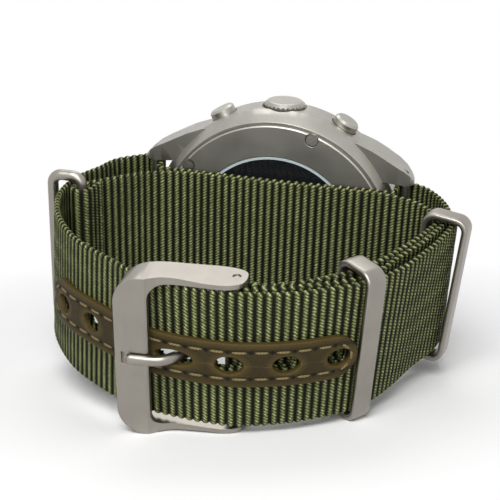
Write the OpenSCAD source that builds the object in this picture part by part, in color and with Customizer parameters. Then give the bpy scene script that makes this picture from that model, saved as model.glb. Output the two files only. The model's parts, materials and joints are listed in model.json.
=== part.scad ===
// Pilot watch on a threaded webbing strap, lying on its side with the crown up.
// The strap lies behind the case, runs round both spring bars, and is closed by its buckle.
// Case pieces are drawn along the dial axis, and the strap is drawn in plan, as a worn loop.

/* [Case] */
// Radius of the case at its flank
case_r = 21.8; // [21:0.1:23]
// Height of the bevel that rises from the back to the flank
bevel_h = 3.0; // [2.6:0.1:3.3]
// Height of the flank
flank_h = 5.4; // [5.2:0.1:6.2]
// Distance from the flank in to the edge of the case back
back_inset = 2.05; // [1.9:0.05:2.3]
// Thickness of the case back
back_t = 1.1; // [0.9:0.05:1.3]
// Radius of the window that shows the movement
window_r = 13.84; // [12.5:0.1:14.5]
// Clear width between the lugs
lug_gap = 22.3; // [22.2:0.1:24]
// Distance that the lug tips reach beyond the flank
lug_beyond = 1.5; // [1.3:0.1:2.5]
// Distance from the lug tips in to the spring bars
bar_inset = 1.5; // [1.3:0.1:1.7]
// Height of the spring bars over the case back
bar_y = 2.7; // [2.5:0.1:3]
// Radius of a spring bar
bar_r = 0.75; // [0.6:0.05:0.85]

/* [Crown and pushers] */
// Radius of the crown
crown_r = 3.5; // [3:0.1:3.8]
// Length of the crown
crown_l = 2.9; // [2.4:0.1:3.6]
// Height of the crown's axis over the case back
crown_y = 6.36; // [6:0.05:6.6]
// Way that the crown pulls out to set the hands
crown_pull = 1.0; // [0.6:0.1:1.2]
// Radius of a chronograph pusher's cap
pusher_r = 2.2; // [1.8:0.1:2.3]
// Way that a pusher presses in
pusher_travel = 0.8; // [0.4:0.1:0.8]
// Angle between the crown and each pusher
pusher_angle = 28.8; // [26:0.2:32]

/* [Dial and crystal] */
// Distance from the flank in to the dial's edge
dial_inset = 4.5; // [4.4:0.1:5]
// Distance from the flank in to the crystal's edge
crystal_inset = 4.4; // [4:0.1:4.6]
// Thickness of the crystal
crystal_t = 1.5; // [1:0.1:2]
// Length of the minute hand
minute_hand_l = 13.5; // [11:0.5:14.5]
// Length of the hour hand
hour_hand_l = 9.0; // [7:0.5:10]
// Distance from the centre to each small dial
subdial_x = 8.2; // [8:0.1:8.6]

/* [Strap] */
// Width of the strap
strap_w = 22; // [20:0.5:22]
// Thickness of the webbing
strap_t = 1.0; // [0.8:0.05:1.1]
// Leftmost place of the strap's outer face
loop_left = -32.8; // [-33.5:0.1:-32]
// Rightmost place of the strap's outer face
loop_right = 31.2; // [30.5:0.1:32.5]
// Front of the strap's outer face, on the wrist's far side
front_y = -44.85; // [-46.5:0.05:-44]
// Lean of the strap beside the buckle, with its upper edge further out
front_lean = 3.6; // [2.5:0.1:4.5]
// Width of the leather strip
leather_w = 7.0; // [6.5:0.1:8]
// Thickness of the leather strip
leather_t = 0.9; // [0.6:0.05:1]
// Distance between two adjusting holes
hole_step = 7.6; // [7:0.1:8.5]
// Length of a hole in the leather
hole_l = 3.7; // [3.4:0.1:4.2]
// Width of a hole in the leather
hole_w = 2.8; // [2.6:0.1:3.2]

/* [Buckle and keepers] */
// Outer width of the buckle
buckle_w = 25.4; // [25.2:0.1:27]
// Distance from the hinge to the buckle's free edge
buckle_l = 16.3; // [15.5:0.1:17]
// Width of the buckle's bar
buckle_bar = 4.7; // [4.2:0.1:5]
// Radius of the buckle's hinge bar
pin_r = 0.6; // [0.5:0.05:0.65]
// Width of the keepers, along the strap
keeper_w = 3.2; // [2.4:0.1:3.6]
// Thickness of the keepers
keeper_t = 1.05; // [0.9:0.05:1.2]
// Diameter of the end ring's wire
ring_wire = 1.8; // [1.4:0.05:1.9]

/* [Hidden] */
$fn = 64;

// Fits
run_gap = 0.04;
seat_gap = 0.02;
free_gap = 0.3;
eps = 0.5;

// Radii of the case's round pieces, and places of the spring bars
back_r = case_r - back_inset;
dial_r = case_r - dial_inset;
crystal_r = case_r - crystal_inset;
bezel_r = crystal_r + 1.9;
lug_reach = case_r + lug_beyond;
bar_x = lug_reach - bar_inset;

// Levels of the case, from the back's outer face towards the crystal
flank_top = bevel_h + flank_h;
bezel_z = flank_top + 1.0;
bezel_h = 2.0;
crystal_seat = bezel_z + 1.3;
dial_z = flank_top - 0.3;
dial_t = 0.4;
dial_top = dial_z + dial_t;
cavity_r = dial_r + 0.3;
spigot_r = cavity_r + 0.2;
spigot_h = 2.0;
opening_r = dial_r - 0.4;
rim_r = case_r - 1.45;
rim_z = 0.45;
lug_z = 1.3;
lug_cut_x = case_r - 2.1;

// Case back screws
screw_count = 5;
screw_angle = 18.5;
screw_circle = back_r - 0.85;
screw_r = 0.95;
screw_head = 0.5;
thread_r = 0.45;
screw_l = 2.5;

// Crown and pushers
crown_in = case_r - 2.3;
pocket_gap = 0.35;
pocket_floor = crown_in - 0.2;
tube_r = 1.3;
stem_r = 0.6;
crown_bore = 1.9;
crown_bore_l = 1.9;
pusher_y = 6.0;
cap_out = case_r + 1.25;
cap_l = 2.15;
cap_in = cap_out - cap_l;
cap_floor = cap_in - pusher_travel - 0.2;
spring_floor = case_r - 3.3;
spring_wire = 0.24;
spring_r = 1.28;
spring_turns = 4;
push_tube_r = 1.0;
push_stem_r = 0.55;

// Levels of the movement
rotor_z = 1.7;
bridge_z = 3.1;
bridge_t = 0.7;
low_z = bridge_z + bridge_t + 0.15;
mid_z = low_z + 0.55;
high_z = low_z + 1.15;
wheel_t = 0.2;
plate_z = 5.6;
plate_t = 1.6;
plate_top = plate_z + plate_t;
plate_r = dial_r - 1.8;
pillar_r = 0.8;
pillar_circle = plate_r - 1.9;
pillar_angles = [203, 320, 40, 100];
arbor_r = 0.15;
pivot_gap = 0.05;

// Wheels: tip radii of wheels and pinions, and their places on the plate
mesh_gap = 0.06;
barrel_r = 5.9;
centre_r = 4.6;
centre_pinion = 1.1;
third_r = 4.0;
third_pinion = 0.7;
fourth_r = 3.4;
fourth_pinion = 0.6;
escape_r = 2.4;
escape_pinion = 0.5;
balance_r = 3.0;
barrel_at = (barrel_r + centre_pinion + mesh_gap) * [cos(220), sin(220)];
fourth_at = [0, subdial_x];
third_from_centre = centre_r + third_pinion + mesh_gap;
third_from_fourth = third_r + fourth_pinion + mesh_gap;
third_y = (subdial_x ^ 2 + third_from_centre ^ 2 - third_from_fourth ^ 2) / (2 * subdial_x);
third_at = [sqrt(third_from_centre ^ 2 - third_y ^ 2), third_y];
escape_at = fourth_at + (fourth_r + escape_pinion + mesh_gap) * [cos(160), sin(160)];
fork_at = escape_at + 3.2 * [cos(215), sin(215)];
balance_at = fork_at + 3.3 * [cos(215), sin(215)];

// Strap: layers, loops and the plan of the outer face at the strap's mid width
layer_gap = 0.06;
pitch = strap_t + layer_gap;
wrap_gap = 0.08;
bar_loop = bar_r + wrap_gap + strap_t / 2;
pin_loop = pin_r + wrap_gap + strap_t / 2;
step = 1.5;
behind_y = -0.45 - strap_t / 2;
hinge_x = 4.2;
L = loop_left;
R = loop_right;
F = front_y;
face_points = [
  [L + 2.6, -3.7], [L + 0.7, -8.4], [L, -13.5], [L + 0.35, -18.2], [L + 1.8, -22.8],
  [L + 3.9, F + 17.75], [L + 6.9, F + 13.45], [L + 10.3, F + 9.75], [L + 14.4, F + 6.65],
  [L + 18.4, F + 4.1], [-10.8, F + 2.1], [-7.3, F + 0.9], [-3.4, F + 0.2], [0.4, F],
  [4.3, F + 0.2], [7.8, F + 1.2], [10.9, F + 2.4], [13.7, F + 3.9], [16.4, F + 5.7],
  [R - 12.2, F + 7.7], [R - 9.7, F + 10.3], [R - 7.5, F + 13.6], [R - 5.6, F + 17.6],
  [R - 4.1, F + 21.7], [R - 2.3, -18.2], [R - 0.8, -13.6], [R, -9], [R - 0.1, -5]
];
tail_end_y = -8;

// Leaning of the strap: how far its top edge lies out of the loop, in degrees
lean_by_x = [
  [-30, -2.3], [-15, -2], [-6, front_lean - 0.2], [-4, front_lean], [4.8, front_lean],
  [9, front_lean + 1.1], [20, front_lean + 1.2], [25, front_lean + 2.2]
];
lean_by_y = [[-20, 1], [-13, 0.45], [-2, 0]];
lean_centre = [hinge_x, -12];

// Slack between the tail and the layers inside it, by the distance from the hinge
second_slack = [[0, 0.5], [10, 0.9], [15, 0.6], [19.5, 0.3], [22, 0.5], [28, 1.25], [38, 0.7], [44, 0.3], [50, 0]];
third_slack = [[0, 0.5], [8, 0.9], [15, 1.4], [19.5, 1.6], [24, 1.5], [30, 1.3], [38, 0.75], [44, 0.35], [50, 0]];

// End ring of the under-strap, buckle and keepers
ring_at = [loop_left + strap_t + 0.6 + strap_t + wrap_gap + ring_wire / 2, -14];
ring_out = loop_left - 0.5 - ring_wire / 2;
ring_half = strap_w / 2 + 1.6;
ring_corner = 1.6;
buckle_lean = 3;
arm_in = strap_w / 2 + 0.4;
lobe_half = buckle_w / 2 - 0.6;
lobe_l = 4;
bar_low = 3.3;
bar_high = 4.5;
bar_at = buckle_l - buckle_bar;
corner_r = 4;
prong_w = 1.5;
prong_t = 1.3;
prong_ring = 1.25;
keeper_gap = 0.15;
keeper_far_gap = 1.0;
keeper_far_turn = -2.2;
keeper_high = strap_w / 2 + 0.55;
keeper_corner = 1.1;

// Edges of a buckle arm seen from its side: towards the outside and towards the wrist
arm_front = [
  [-1.5, 0.6], [-1.1, 1.9], [0.2, 2.75], [2, 3.05], [5, 2.95], [8, 2.85],
  [10, 3.3], [bar_at, bar_high - 0.2], [buckle_l - corner_r, bar_high], [buckle_l, bar_high]
];
arm_back = [
  [-1.5, -0.5], [-1.1, -1.5], [0.5, -2.2], [3.5, -2.4], [7, -1.8], [bar_at - 1, -1.1],
  [buckle_l - 1.5, 0.6], [buckle_l, 2.6]
];

// Plane geometry
function unit(v) = v / norm(v);
function left_of(v) = [-v.y, v.x];
function polar(r, a) = r * [cos(a), sin(a)];
function arc(c, r, from, to, n) = [for (i = [0 : n]) c + polar(r, from + (to - from) * i / n)];
function spline_at(a, b, c, d, t) =
  0.5 * (2 * b + (c - a) * t + (2 * a - 5 * b + 4 * c - d) * t ^ 2 + (3 * b - a - 3 * c + d) * t ^ 3);
function smooth(p, n, first = 0) = [
  for (i = [first : len(p) - 2])
    for (k = [0 : n - 1])
      spline_at(p[max(i - 1, 0)], p[i], p[i + 1], p[min(i + 2, len(p) - 1)], k / n),
  p[len(p) - 1]
];
function direction(c, i) = unit(c[min(i + 1, len(c) - 1)] - c[max(i - 1, 0)]);
function shifted(c, d) = [for (i = [0 : len(c) - 1]) c[i] + d * left_of(direction(c, i))];
function lengths(c) =
  [for (i = 0, s = 0; i < len(c); s = s + norm(c[min(i + 1, len(c) - 1)] - c[i]), i = i + 1) s];

// The tail's centre line, as functions of the length along it
face_steps = 4;
tail_line = shifted(smooth(face_points, face_steps), strap_t / 2);
tail_length = lengths(tail_line);
tail_xs = [for (i = [0 : len(tail_line) - 1]) [tail_length[i], tail_line[i].x]];
tail_ys = [for (i = [0 : len(tail_line) - 1]) [tail_length[i], tail_line[i].y]];
first_front = 2 * face_steps;
last_front = (len(face_points) - 6) * face_steps;
length_by_x = [for (i = [first_front : last_front]) [tail_line[i].x, tail_length[i]]];
length_by_y = [for (i = [last_front : len(tail_line) - 1]) [tail_line[i].y, tail_length[i]]];
function tail_at(s) = [lookup(s, tail_xs), lookup(s, tail_ys)];
function tail_dir(s) = unit(tail_at(s + 1) - tail_at(s - 1));
function layer(s, d) = tail_at(s) + d * left_of(tail_dir(s));
function lean_at(p) = lookup(p.x, lean_by_x) * lookup(p.y, lean_by_y);
function across_at(p, lean) = let(out = unit(p - lean_centre) * tan(lean)) unit([out.x, out.y, 1]);
function second_depth(u) = pitch + lookup(u, second_slack);
function third_depth(u) = 2 * pitch + lookup(u, third_slack);

// Stations along the tail
s_hinge = lookup(hinge_x, length_by_x);
s_tail_end = lookup(tail_end_y, length_by_y);
s_second_end = lookup(-11, length_by_y);
s_third_end = lookup(-16.5, length_by_y);
s_keeper_near = lookup(20.6, length_by_x);
s_keeper_far = lookup(-12.6, length_by_y);
prong_hole_at = 8.3;
s_prong = s_hinge - prong_hole_at;
s_leather_end = s_keeper_near - keeper_w / 2 - free_gap;
s_leather_start = s_prong - 3 * hole_step - 4.6;
hinge_depth = second_depth(0) + pin_loop;
hinge_at = layer(s_hinge, hinge_depth);
inner_leg = hinge_depth + pin_loop;
hinge_turn = atan2(left_of(tail_dir(s_hinge)).y, left_of(tail_dir(s_hinge)).x);
return_l = 9;
under_start = return_l + 0.4;

// Stance: the case's flank edge, the corner of the buckle's bar and the near keeper stand on the surface
function in_buckle(p, z) =
  let(
    x = p.y * sin(buckle_lean) - p.x * cos(buckle_lean),
    y = -p.x * sin(buckle_lean) - p.y * cos(buckle_lean)
  )
  [
    hinge_at.x + x, hinge_at.y + y * cos(front_lean) - z * sin(front_lean),
    y * sin(front_lean) + z * cos(front_lean)
  ];
bar_foot = in_buckle([buckle_l - corner_r, bar_high], -buckle_w / 2);
keeper_r = keeper_corner + keeper_t;
foot_turn = 16;
keeper_foot =
  let(
    p = tail_at(s_keeper_near),
    d = tail_dir(s_keeper_near),
    across = across_at(p, lean_at(p)),
    along = unit([d.x, d.y, 0] - across * (across * [d.x, d.y, 0]))
  )
  [p.x, p.y, 0] - keeper_w / 2 * along
    - (keeper_high + keeper_t - keeper_r * (1 - cos(foot_turn))) * across
    + (strap_t / 2 + keeper_gap + keeper_t - keeper_r * (1 - sin(foot_turn))) * cross(along, across);
foot_step = bar_foot - keeper_foot;
function stance(tilt, roll, n) =
  let(
    turn = asin((foot_step.y * tan(tilt) + foot_step.z * cos(roll)) / foot_step.x),
    rise = atan((bar_foot.x * sin(turn) - bar_foot.z * cos(turn) - case_r) / (bar_foot.y - bevel_h))
  )
  n == 0 ? [rise, turn] : stance(rise, turn, n - 1);
tilt = stance(10, 2, 8)[0];
roll = stance(10, 2, 8)[1];
stand_z = case_r * cos(tilt) - bevel_h * sin(tilt);

// Middle of the whole watch in plan, between its outermost pieces, which lies over the origin
function plan_x(x, z) = x * cos(roll) + z * sin(roll);
function plan_y(p) = p.y * cos(tilt) - (p.z * cos(roll) - p.x * sin(roll)) * sin(tilt);
far_at = tail_at(s_keeper_far);
far_high = keeper_high - keeper_corner;
far_out = far_at.x + strap_t / 2 + keeper_far_gap - keeper_corner
  + far_high * tan(lean_at(far_at) - keeper_far_turn) + keeper_w / 2 * abs(tail_dir(s_keeper_far).x);
left_end = plan_x(ring_out + ring_corner, ring_corner - ring_half) - ring_corner - ring_wire / 2;
right_end = plan_x(far_out, far_high) + keeper_r;
front_end = plan_y(in_buckle([buckle_l - corner_r / 2, bar_high], buckle_w / 2 - 0.6));
back_end = plan_y([0, crystal_seat + crystal_t, -crystal_r]);
middle_x = (left_end + right_end) / 2;
middle_y = (front_end + back_end) / 2;

// Bends at the case: between case and spring bar, and at the edge of the back
inner_x = bar_x - bar_loop;
edge_r = 1.2;
edge_at = [inner_x - edge_r, behind_y + edge_r];

// Main strap, from its folded end round the hinge bar, behind the case and on to the tail's end
return_rise = [[0, inner_leg - third_depth(0)], [1.5, 0.85], [3, 0.35], [4.5, 0]];
main_fold = [
  for (u = [return_l : -step : step]) layer(s_hinge + u, third_depth(u) + lookup(u, return_rise))
];
main_loop = arc(hinge_at, pin_loop, hinge_turn, hinge_turn + 180, 8);
main_second = [for (s = [s_hinge + step : step : s_second_end]) layer(s, second_depth(s - s_hinge))];
second_last = main_second[len(main_second) - 1];
second_before = main_second[len(main_second) - 2];
right_points = [
  second_before, second_last, [R - 1.6, -7.5], [R - 2.4, -3.6], [(R + bar_x) / 2 + 0.9, -0.4],
  [bar_x + 3.7, 2.3], [bar_x + 2, bar_y + 0.87], [bar_x + 0.34, bar_y + 0.96 * bar_loop]
];
behind_points = [
  [edge_at.x - 2, behind_y], [8, behind_y - 0.35], [0, behind_y - 0.55], [-8, behind_y - 0.35],
  [2 - edge_at.x, behind_y]
];
left_points = [
  [-bar_x, bar_y] + polar(bar_loop, 50), [-bar_x, bar_y] + polar(bar_loop, 70),
  [-bar_x - 1.7, bar_y + 2.15], [-bar_x - 3.2, bar_y + 1.15], [L + 4.5, 0.6],
  tail_at(0), tail_at(step)
];
main_path = concat(
  main_fold, main_loop, main_second,
  smooth(right_points, 3, 2),
  arc([bar_x, bar_y], bar_loop, 90, 180, 6),
  arc(edge_at, edge_r, 0, -90, 5),
  smooth(behind_points, 4),
  arc([-edge_at.x, edge_at.y], edge_r, -90, -180, 5),
  arc([-bar_x, bar_y], bar_loop, 0, 70, 5),
  [for (p = smooth(left_points, 3, 1)) if (p != left_points[1] && p.y > tail_at(0).y + 0.2) p],
  [for (s = [0 : step : s_tail_end]) tail_at(s)]
);

// Under-strap, from the hinge behind the case to the fold round its end ring
ring_loop = ring_wire / 2 + wrap_gap + strap_t / 2;
ring_heading = -132;
ring_meet = ring_at + polar(ring_loop, ring_heading - 90);
lie_gap = pitch + 0.02;
under_third = [
  for (s = [s_hinge + under_start : step : s_third_end]) layer(s, third_depth(s - s_hinge))
];
third_last = under_third[len(under_third) - 1];
third_before = under_third[len(under_third) - 2];
under_right = [
  third_before, third_last, [R - 3.2, -11], [R - 4.8, -7], [R - 7, -4.6], [21.5, -3.1],
  [17, behind_y - pitch - 0.15]
];
under_behind = [
  [17, behind_y - pitch - 0.15], [8, behind_y - pitch - 0.4], [0, behind_y - pitch - 0.6],
  [-8, behind_y - pitch - 0.4], [-14, behind_y - pitch - 0.25], [-20.6, -3.8], [-23.4, -5.8],
  ring_meet - 4.2 * polar(1, ring_heading), ring_meet - 2 * polar(1, ring_heading), ring_meet
];
fold_side = left_of(polar(1, ring_heading));
under_fold = [
  ring_meet - 2.9 * polar(1, ring_heading) + (lie_gap + 0.25) * fold_side,
  ring_meet - 3.8 * polar(1, ring_heading) + (lie_gap + 0.05) * fold_side
];
under_path = concat(
  [for (i = [0 : len(under_third) - 2]) under_third[i]],
  smooth(under_right, 3, 1), smooth(under_behind, 3),
  arc(ring_at, ring_loop, ring_heading - 68, ring_heading + 122, 10), under_fold
);

// Prong's centre line from the hinge: under the tail, up through its hole and on to the bar
prong_high = bar_high + 0.2;
prong_line = [
  [0, 0], [1.8, -0.3], [3.6, -0.4], [5.2, 0.2], [6.7, 1.5], [8.1, 2.95], [9.4, 4.1],
  [10.8, prong_high - 0.12], [12.4, prong_high], [14.5, prong_high - 0.02]
];
prong_end = prong_line[len(prong_line) - 1].x + prong_t / 2;
prong_hole_l = 5.4;
prong_hole_w = 2.4;

// Adjusting holes along the tail, either side of the prong's own
hole_stations = [for (k = [-3, -2, -1, 1, 2, 3]) s_prong + k * hole_step];

// Places the head's pieces, which are drawn along the dial axis with the crown at -Y
module standing() {
  translate([-middle_x, -middle_y, stand_z]) rotate([tilt, 0, 0]) rotate([0, roll, 0]) children();
}
module head() {
  standing() rotate([-90, 0, 0]) children();
}

// Puts its children on a radius of the head, with +Z outwards, at a height and an angle from the crown
module radial(height, angle = 0) {
  rotate([0, 0, angle]) translate([0, 0, height]) rotate([90, 0, 0]) children();
}

module ring(r_out, r_in, h) {
  difference() {
    cylinder(r = r_out, h = h);
    translate([0, 0, -eps]) cylinder(r = r_in, h = h + 2 * eps);
  }
}

// Wheel with cut teeth and spokes, from its tip radius
module wheel(r, teeth, bore, spokes = 4, tooth = 0.22) {
  linear_extrude(wheel_t) difference() {
    polygon([for (i = [0 : teeth - 1]) each [
      polar(r - tooth, 360 * i / teeth), polar(r, 360 * (i + 0.25) / teeth),
      polar(r, 360 * (i + 0.45) / teeth), polar(r - tooth, 360 * (i + 0.7) / teeth)
    ]]);
    circle(r = bore);
    difference() {
      circle(r = r - tooth - 0.5);
      circle(r = bore + 0.6);
      for (i = [0 : spokes - 1]) rotate(360 * i / spokes) translate([0, -0.2]) square([r, 0.4]);
    }
  }
}
module pinion(r, leaves, h, bore) {
  linear_extrude(h) difference() {
    polygon([for (i = [0 : leaves - 1]) each [
      polar(r * 0.72, 360 * i / leaves), polar(r, 360 * (i + 0.25) / leaves),
      polar(r, 360 * (i + 0.5) / leaves), polar(r * 0.72, 360 * (i + 0.75) / leaves)
    ]]);
    circle(r = bore);
  }
}

// Case middle with its lugs
lug_root = case_r - 13.8;
module lug_plan() {
  half = lug_gap / 2;
  polygon([
    [lug_root, half], [lug_reach, half], [lug_reach - 0.1, half + 0.8], [lug_reach - 0.7, half + 1.6],
    [lug_reach - 1.7, half + 2.4], [case_r - 2.8, half + 3.6], [case_r - 5.8, half + 5.1],
    [case_r - 8.5, half + 6.1], [lug_root, half + 7]
  ]);
}
module lug_side() {
  polygon([
    [lug_root, 3], [case_r - 3.3, lug_z + 0.6], [case_r - 1.3, lug_z + 0.1],
    [lug_reach - 1.6, lug_z], [lug_reach - 0.7, lug_z + 0.3], [lug_reach - 0.1, lug_z + 1],
    [lug_reach, lug_z + 1.8], [lug_reach - 0.3, lug_z + 2.8], [lug_reach - 1.4, lug_z + 4.3],
    [case_r - 1.6, flank_top - 1.1], [case_r - 3.8, flank_top - 0.3], [case_r - 6.8, flank_top],
    [lug_root, flank_top]
  ]);
}
module lug() {
  intersection() {
    linear_extrude(flank_top + 1) lug_plan();
    translate([0, case_r, 0]) rotate([90, 0, 0]) linear_extrude(case_r) lug_side();
  }
}
module case_middle() {
  color("#9a9b98") head() difference() {
    union() {
      difference() {
        rotate_extrude($fn = 128) polygon([
          [back_r + 0.05, rim_z], [rim_r - 0.12, rim_z], [rim_r, rim_z + 0.15],
          [case_r, bevel_h], [case_r - 0.1, flank_top], [bezel_r + 0.2, bezel_z],
          [opening_r, bezel_z], [opening_r, dial_top], [cavity_r, dial_top],
          [cavity_r, spigot_h + 0.1], [spigot_r + 0.05, spigot_h + 0.1],
          [spigot_r + 0.05, back_t], [back_r + 0.05, back_t]
        ]);
        for (side = [-1, 1]) translate([side > 0 ? lug_cut_x : -lug_cut_x - 9, -lug_gap / 2, -1])
          cube([9, lug_gap, bezel_z + 0.2]);
      }
      difference() {
        for (x = [0, 1], y = [0, 1]) mirror([x, 0, 0]) mirror([0, y, 0]) lug();
        translate([0, 0, -eps]) cylinder(r = case_r - 1.5, h = 20, $fn = 128);
      }
    }
    radial(crown_y) translate([0, 0, pocket_floor]) cylinder(r = crown_r + pocket_gap, h = 9);
    radial(crown_y) translate([0, 0, 15]) cylinder(r = tube_r + seat_gap, h = 9);
    for (a = [-1, 1]) radial(pusher_y, a * pusher_angle) {
      translate([0, 0, cap_floor]) cylinder(r = pusher_r + 0.15, h = 9);
      translate([0, 0, spring_floor]) cylinder(r = spring_r + 0.3, h = 9);
      translate([0, 0, 15]) cylinder(r = push_tube_r + seat_gap, h = 9);
    }
    back_screw_places() {
      translate([0, 0, -1]) cylinder(r = screw_r + 0.2, h = 1 + screw_head + 0.1);
      cylinder(r = thread_r + seat_gap, h = back_t + screw_l);
    }
    for (side = [-1, 1]) translate([side * bar_x, lug_gap / 2 + 3, bar_y]) rotate([90, 0, 0])
      cylinder(r = 0.47, h = lug_gap + 6);
  }
}
module bezel() {
  color("#a3a4a1") head() rotate_extrude($fn = 128) polygon([
    [opening_r, bezel_z], [bezel_r - 0.05, bezel_z], [bezel_r, bezel_z + 0.5],
    [bezel_r - 0.6, bezel_z + bezel_h], [crystal_r + 0.2, bezel_z + bezel_h],
    [crystal_r + 0.2, crystal_seat], [opening_r, crystal_seat]
  ]);
}
module crystal() {
  color("#dfe8ee", 0.4) head() translate([0, 0, crystal_seat])
    rotate_extrude($fn = 128) polygon([
      [0, 0], [crystal_r, 0], [crystal_r, crystal_t - 0.25], [crystal_r - 0.25, crystal_t],
      [0, crystal_t]
    ]);
}
module crystal_gasket() {
  color("#303030") head() translate([0, 0, crystal_seat + seat_gap])
    ring(crystal_r + 0.18, crystal_r + seat_gap, bezel_z + bezel_h - crystal_seat - 0.1);
}
module inner_flange() {
  color("#202122") head() rotate_extrude($fn = 128) polygon([
    [opening_r - 1.0, dial_top], [opening_r - 0.05, dial_top],
    [opening_r - 0.05, crystal_seat - 0.05], [opening_r - 0.4, crystal_seat - 0.05]
  ]);
}

// Dial: plate with three sunk small dials, each round a pivot hole
subdial_places = [[0, subdial_x], [subdial_x, 0], [-subdial_x, 0]];
module dial() {
  color("#161718") head() difference() {
    translate([0, 0, dial_z]) cylinder(r = dial_r, h = dial_t, $fn = 128);
    translate([0, 0, dial_z - eps]) cylinder(r = 0.8, h = 2);
    for (p = subdial_places) translate([p.x, p.y, 0]) {
      translate([0, 0, dial_top - 0.12]) cylinder(r = 3.7, h = 1);
      translate([0, 0, dial_z - eps]) cylinder(r = arbor_r + 0.1, h = 2);
    }
  }
}
module dial_markers() {
  color("#e8e6da") head() translate([0, 0, dial_top]) {
    for (h = [0 : 11]) rotate(30 * h) translate([dial_r - 3.3, h % 3 == 0 ? -0.4 : -0.22, 0])
      cube([1.6, h % 3 == 0 ? 0.8 : 0.44, 0.2]);
    for (m = [0 : 59]) if (m % 5 != 0) rotate(6 * m) translate([dial_r - 2.3, -0.06, 0])
      cube([0.6, 0.12, 0.08]);
  }
}

// Back of the case
module back_screw_places() {
  for (i = [0 : screw_count - 1]) rotate(-90 + screw_angle + 360 * i / screw_count)
    translate([screw_circle, 0, 0]) children();
}
module case_back() {
  color("#a6a7a4") head() difference() {
    union() {
      rotate_extrude($fn = 128) polygon([
        [window_r + 0.46, 0.15], [window_r + 0.6, 0], [back_r - 0.2, 0], [back_r, 0.2],
        [back_r, back_t], [window_r + 0.46, back_t]
      ]);
      translate([0, 0, back_t]) ring(spigot_r, spigot_r - 0.9, spigot_h - back_t);
    }
    back_screw_places() {
      translate([0, 0, -1]) cylinder(r = screw_r + 0.2, h = 1 + screw_head + 0.1);
      translate([0, 0, -1]) cylinder(r = thread_r + 0.05, h = 4);
    }
    translate([0, 0, back_t + 0.3]) ring(spigot_r + 1, spigot_r - 0.4, 0.4);
  }
}
module back_window() {
  color("#cfd8dd", 0.35) head() translate([0, 0, 0.1]) cylinder(r = window_r, h = back_t - 0.1, $fn = 128);
}
module back_window_gasket() {
  color("#d8d9d6") head() translate([0, 0, 0.08])
    ring(window_r + 0.44, window_r + seat_gap, back_t - 0.08);
}
module back_gasket() {
  color("#2a2a2a") head() translate([0, 0, back_t + 0.5]) rotate_extrude($fn = 96)
    translate([spigot_r - 0.18, 0]) circle(r = 0.19, $fn = 20);
}
module back_screws() {
  color("#8f908d") head() back_screw_places() difference() {
    union() {
      translate([0, 0, 0.05]) cylinder(r = screw_r, h = screw_head + 0.05);
      cylinder(r = thread_r, h = back_t + screw_l - 0.2);
    }
    rotate(35) translate([-2, -0.14, -1]) cube([4, 0.28, 1.3]);
  }
}

// Crown, with its stem into the movement
module crown() {
  flutes = 26;
  color("#a8a9a6") head() radial(crown_y) difference() {
    translate([0, 0, crown_in]) rotate_extrude() polygon([
      [0, 0], [crown_r - 0.5, 0], [crown_r, 0.4], [crown_r, crown_l - 0.5],
      [crown_r - 0.55, crown_l - 0.02], [crown_r - 0.9, crown_l - 0.05], [crown_r - 1.1, crown_l],
      [0, crown_l]
    ]);
    translate([0, 0, crown_in - eps]) cylinder(r = crown_bore, h = crown_bore_l + eps);
    for (i = [0 : flutes - 1]) rotate(360 * i / flutes) translate([crown_r + 0.05, 0, crown_in - eps])
      cylinder(r = 0.25, h = crown_l + 2 * eps, $fn = 16);
  }
}
stem_in = 8;
groove_at = 12.5;
groove_w = 0.8;
module winding_stem() {
  color("#b7b8b4") head() radial(crown_y) difference() {
    translate([0, 0, stem_in]) cylinder(r = stem_r, h = crown_in + crown_bore_l - stem_in);
    translate([0, 0, groove_at - groove_w / 2]) ring(2, 0.32, groove_w);
  }
}
module crown_tube() {
  color("#a1a29f") head() radial(crown_y) translate([0, 0, cavity_r + 0.05])
    ring(tube_r, stem_r + run_gap, crown_in + 1.2 - cavity_r);
}
module crown_gasket() {
  color("#262626") head() radial(crown_y) translate([0, 0, crown_in + 0.2])
    ring(crown_bore - seat_gap, tube_r + 0.02, 0.7);
}

// Pushers with their springs and tubes
module pusher(angle) {
  clip_at = cavity_r - 0.6;
  color("#a8a9a6") head() radial(pusher_y, angle) {
    translate([0, 0, cap_in]) rotate_extrude() polygon([
      [0, 0], [pusher_r, 0], [pusher_r, cap_l - 0.35], [pusher_r - 0.35, cap_l], [0, cap_l]
    ]);
    translate([0, 0, clip_at]) cylinder(r = push_stem_r, h = cap_in - clip_at);
    translate([0, 0, clip_at]) cylinder(r = 0.9, h = 0.3);
  }
}
module start_pusher() { pusher(pusher_angle); }
module reset_pusher() { pusher(-pusher_angle); }
module pusher_spring(angle) {
  length = cap_in - spring_floor - 2 * seat_gap;
  coil_steps = spring_turns * 12;
  rise = (length - spring_wire) / coil_steps;
  sides = 6;
  rings = [for (i = [0 : coil_steps]) [for (j = [0 : sides - 1])
    let(r = spring_r + spring_wire / 2 * cos(60 * j))
      [r * cos(30 * i), r * sin(30 * i), spring_wire / 2 + rise * i + spring_wire / 2 * sin(60 * j)]]];
  color("#b9bab6") head() radial(pusher_y, angle) translate([0, 0, spring_floor + seat_gap])
    tube_mesh(rings);
}
module start_pusher_spring() { pusher_spring(pusher_angle); }
module reset_pusher_spring() { pusher_spring(-pusher_angle); }
module pusher_tubes() {
  color("#a1a29f") head() for (a = [-1, 1]) radial(pusher_y, a * pusher_angle)
    translate([0, 0, cavity_r + 0.05])
      ring(push_tube_r, push_stem_r + run_gap, case_r - 2.2 - cavity_r);
}

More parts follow.
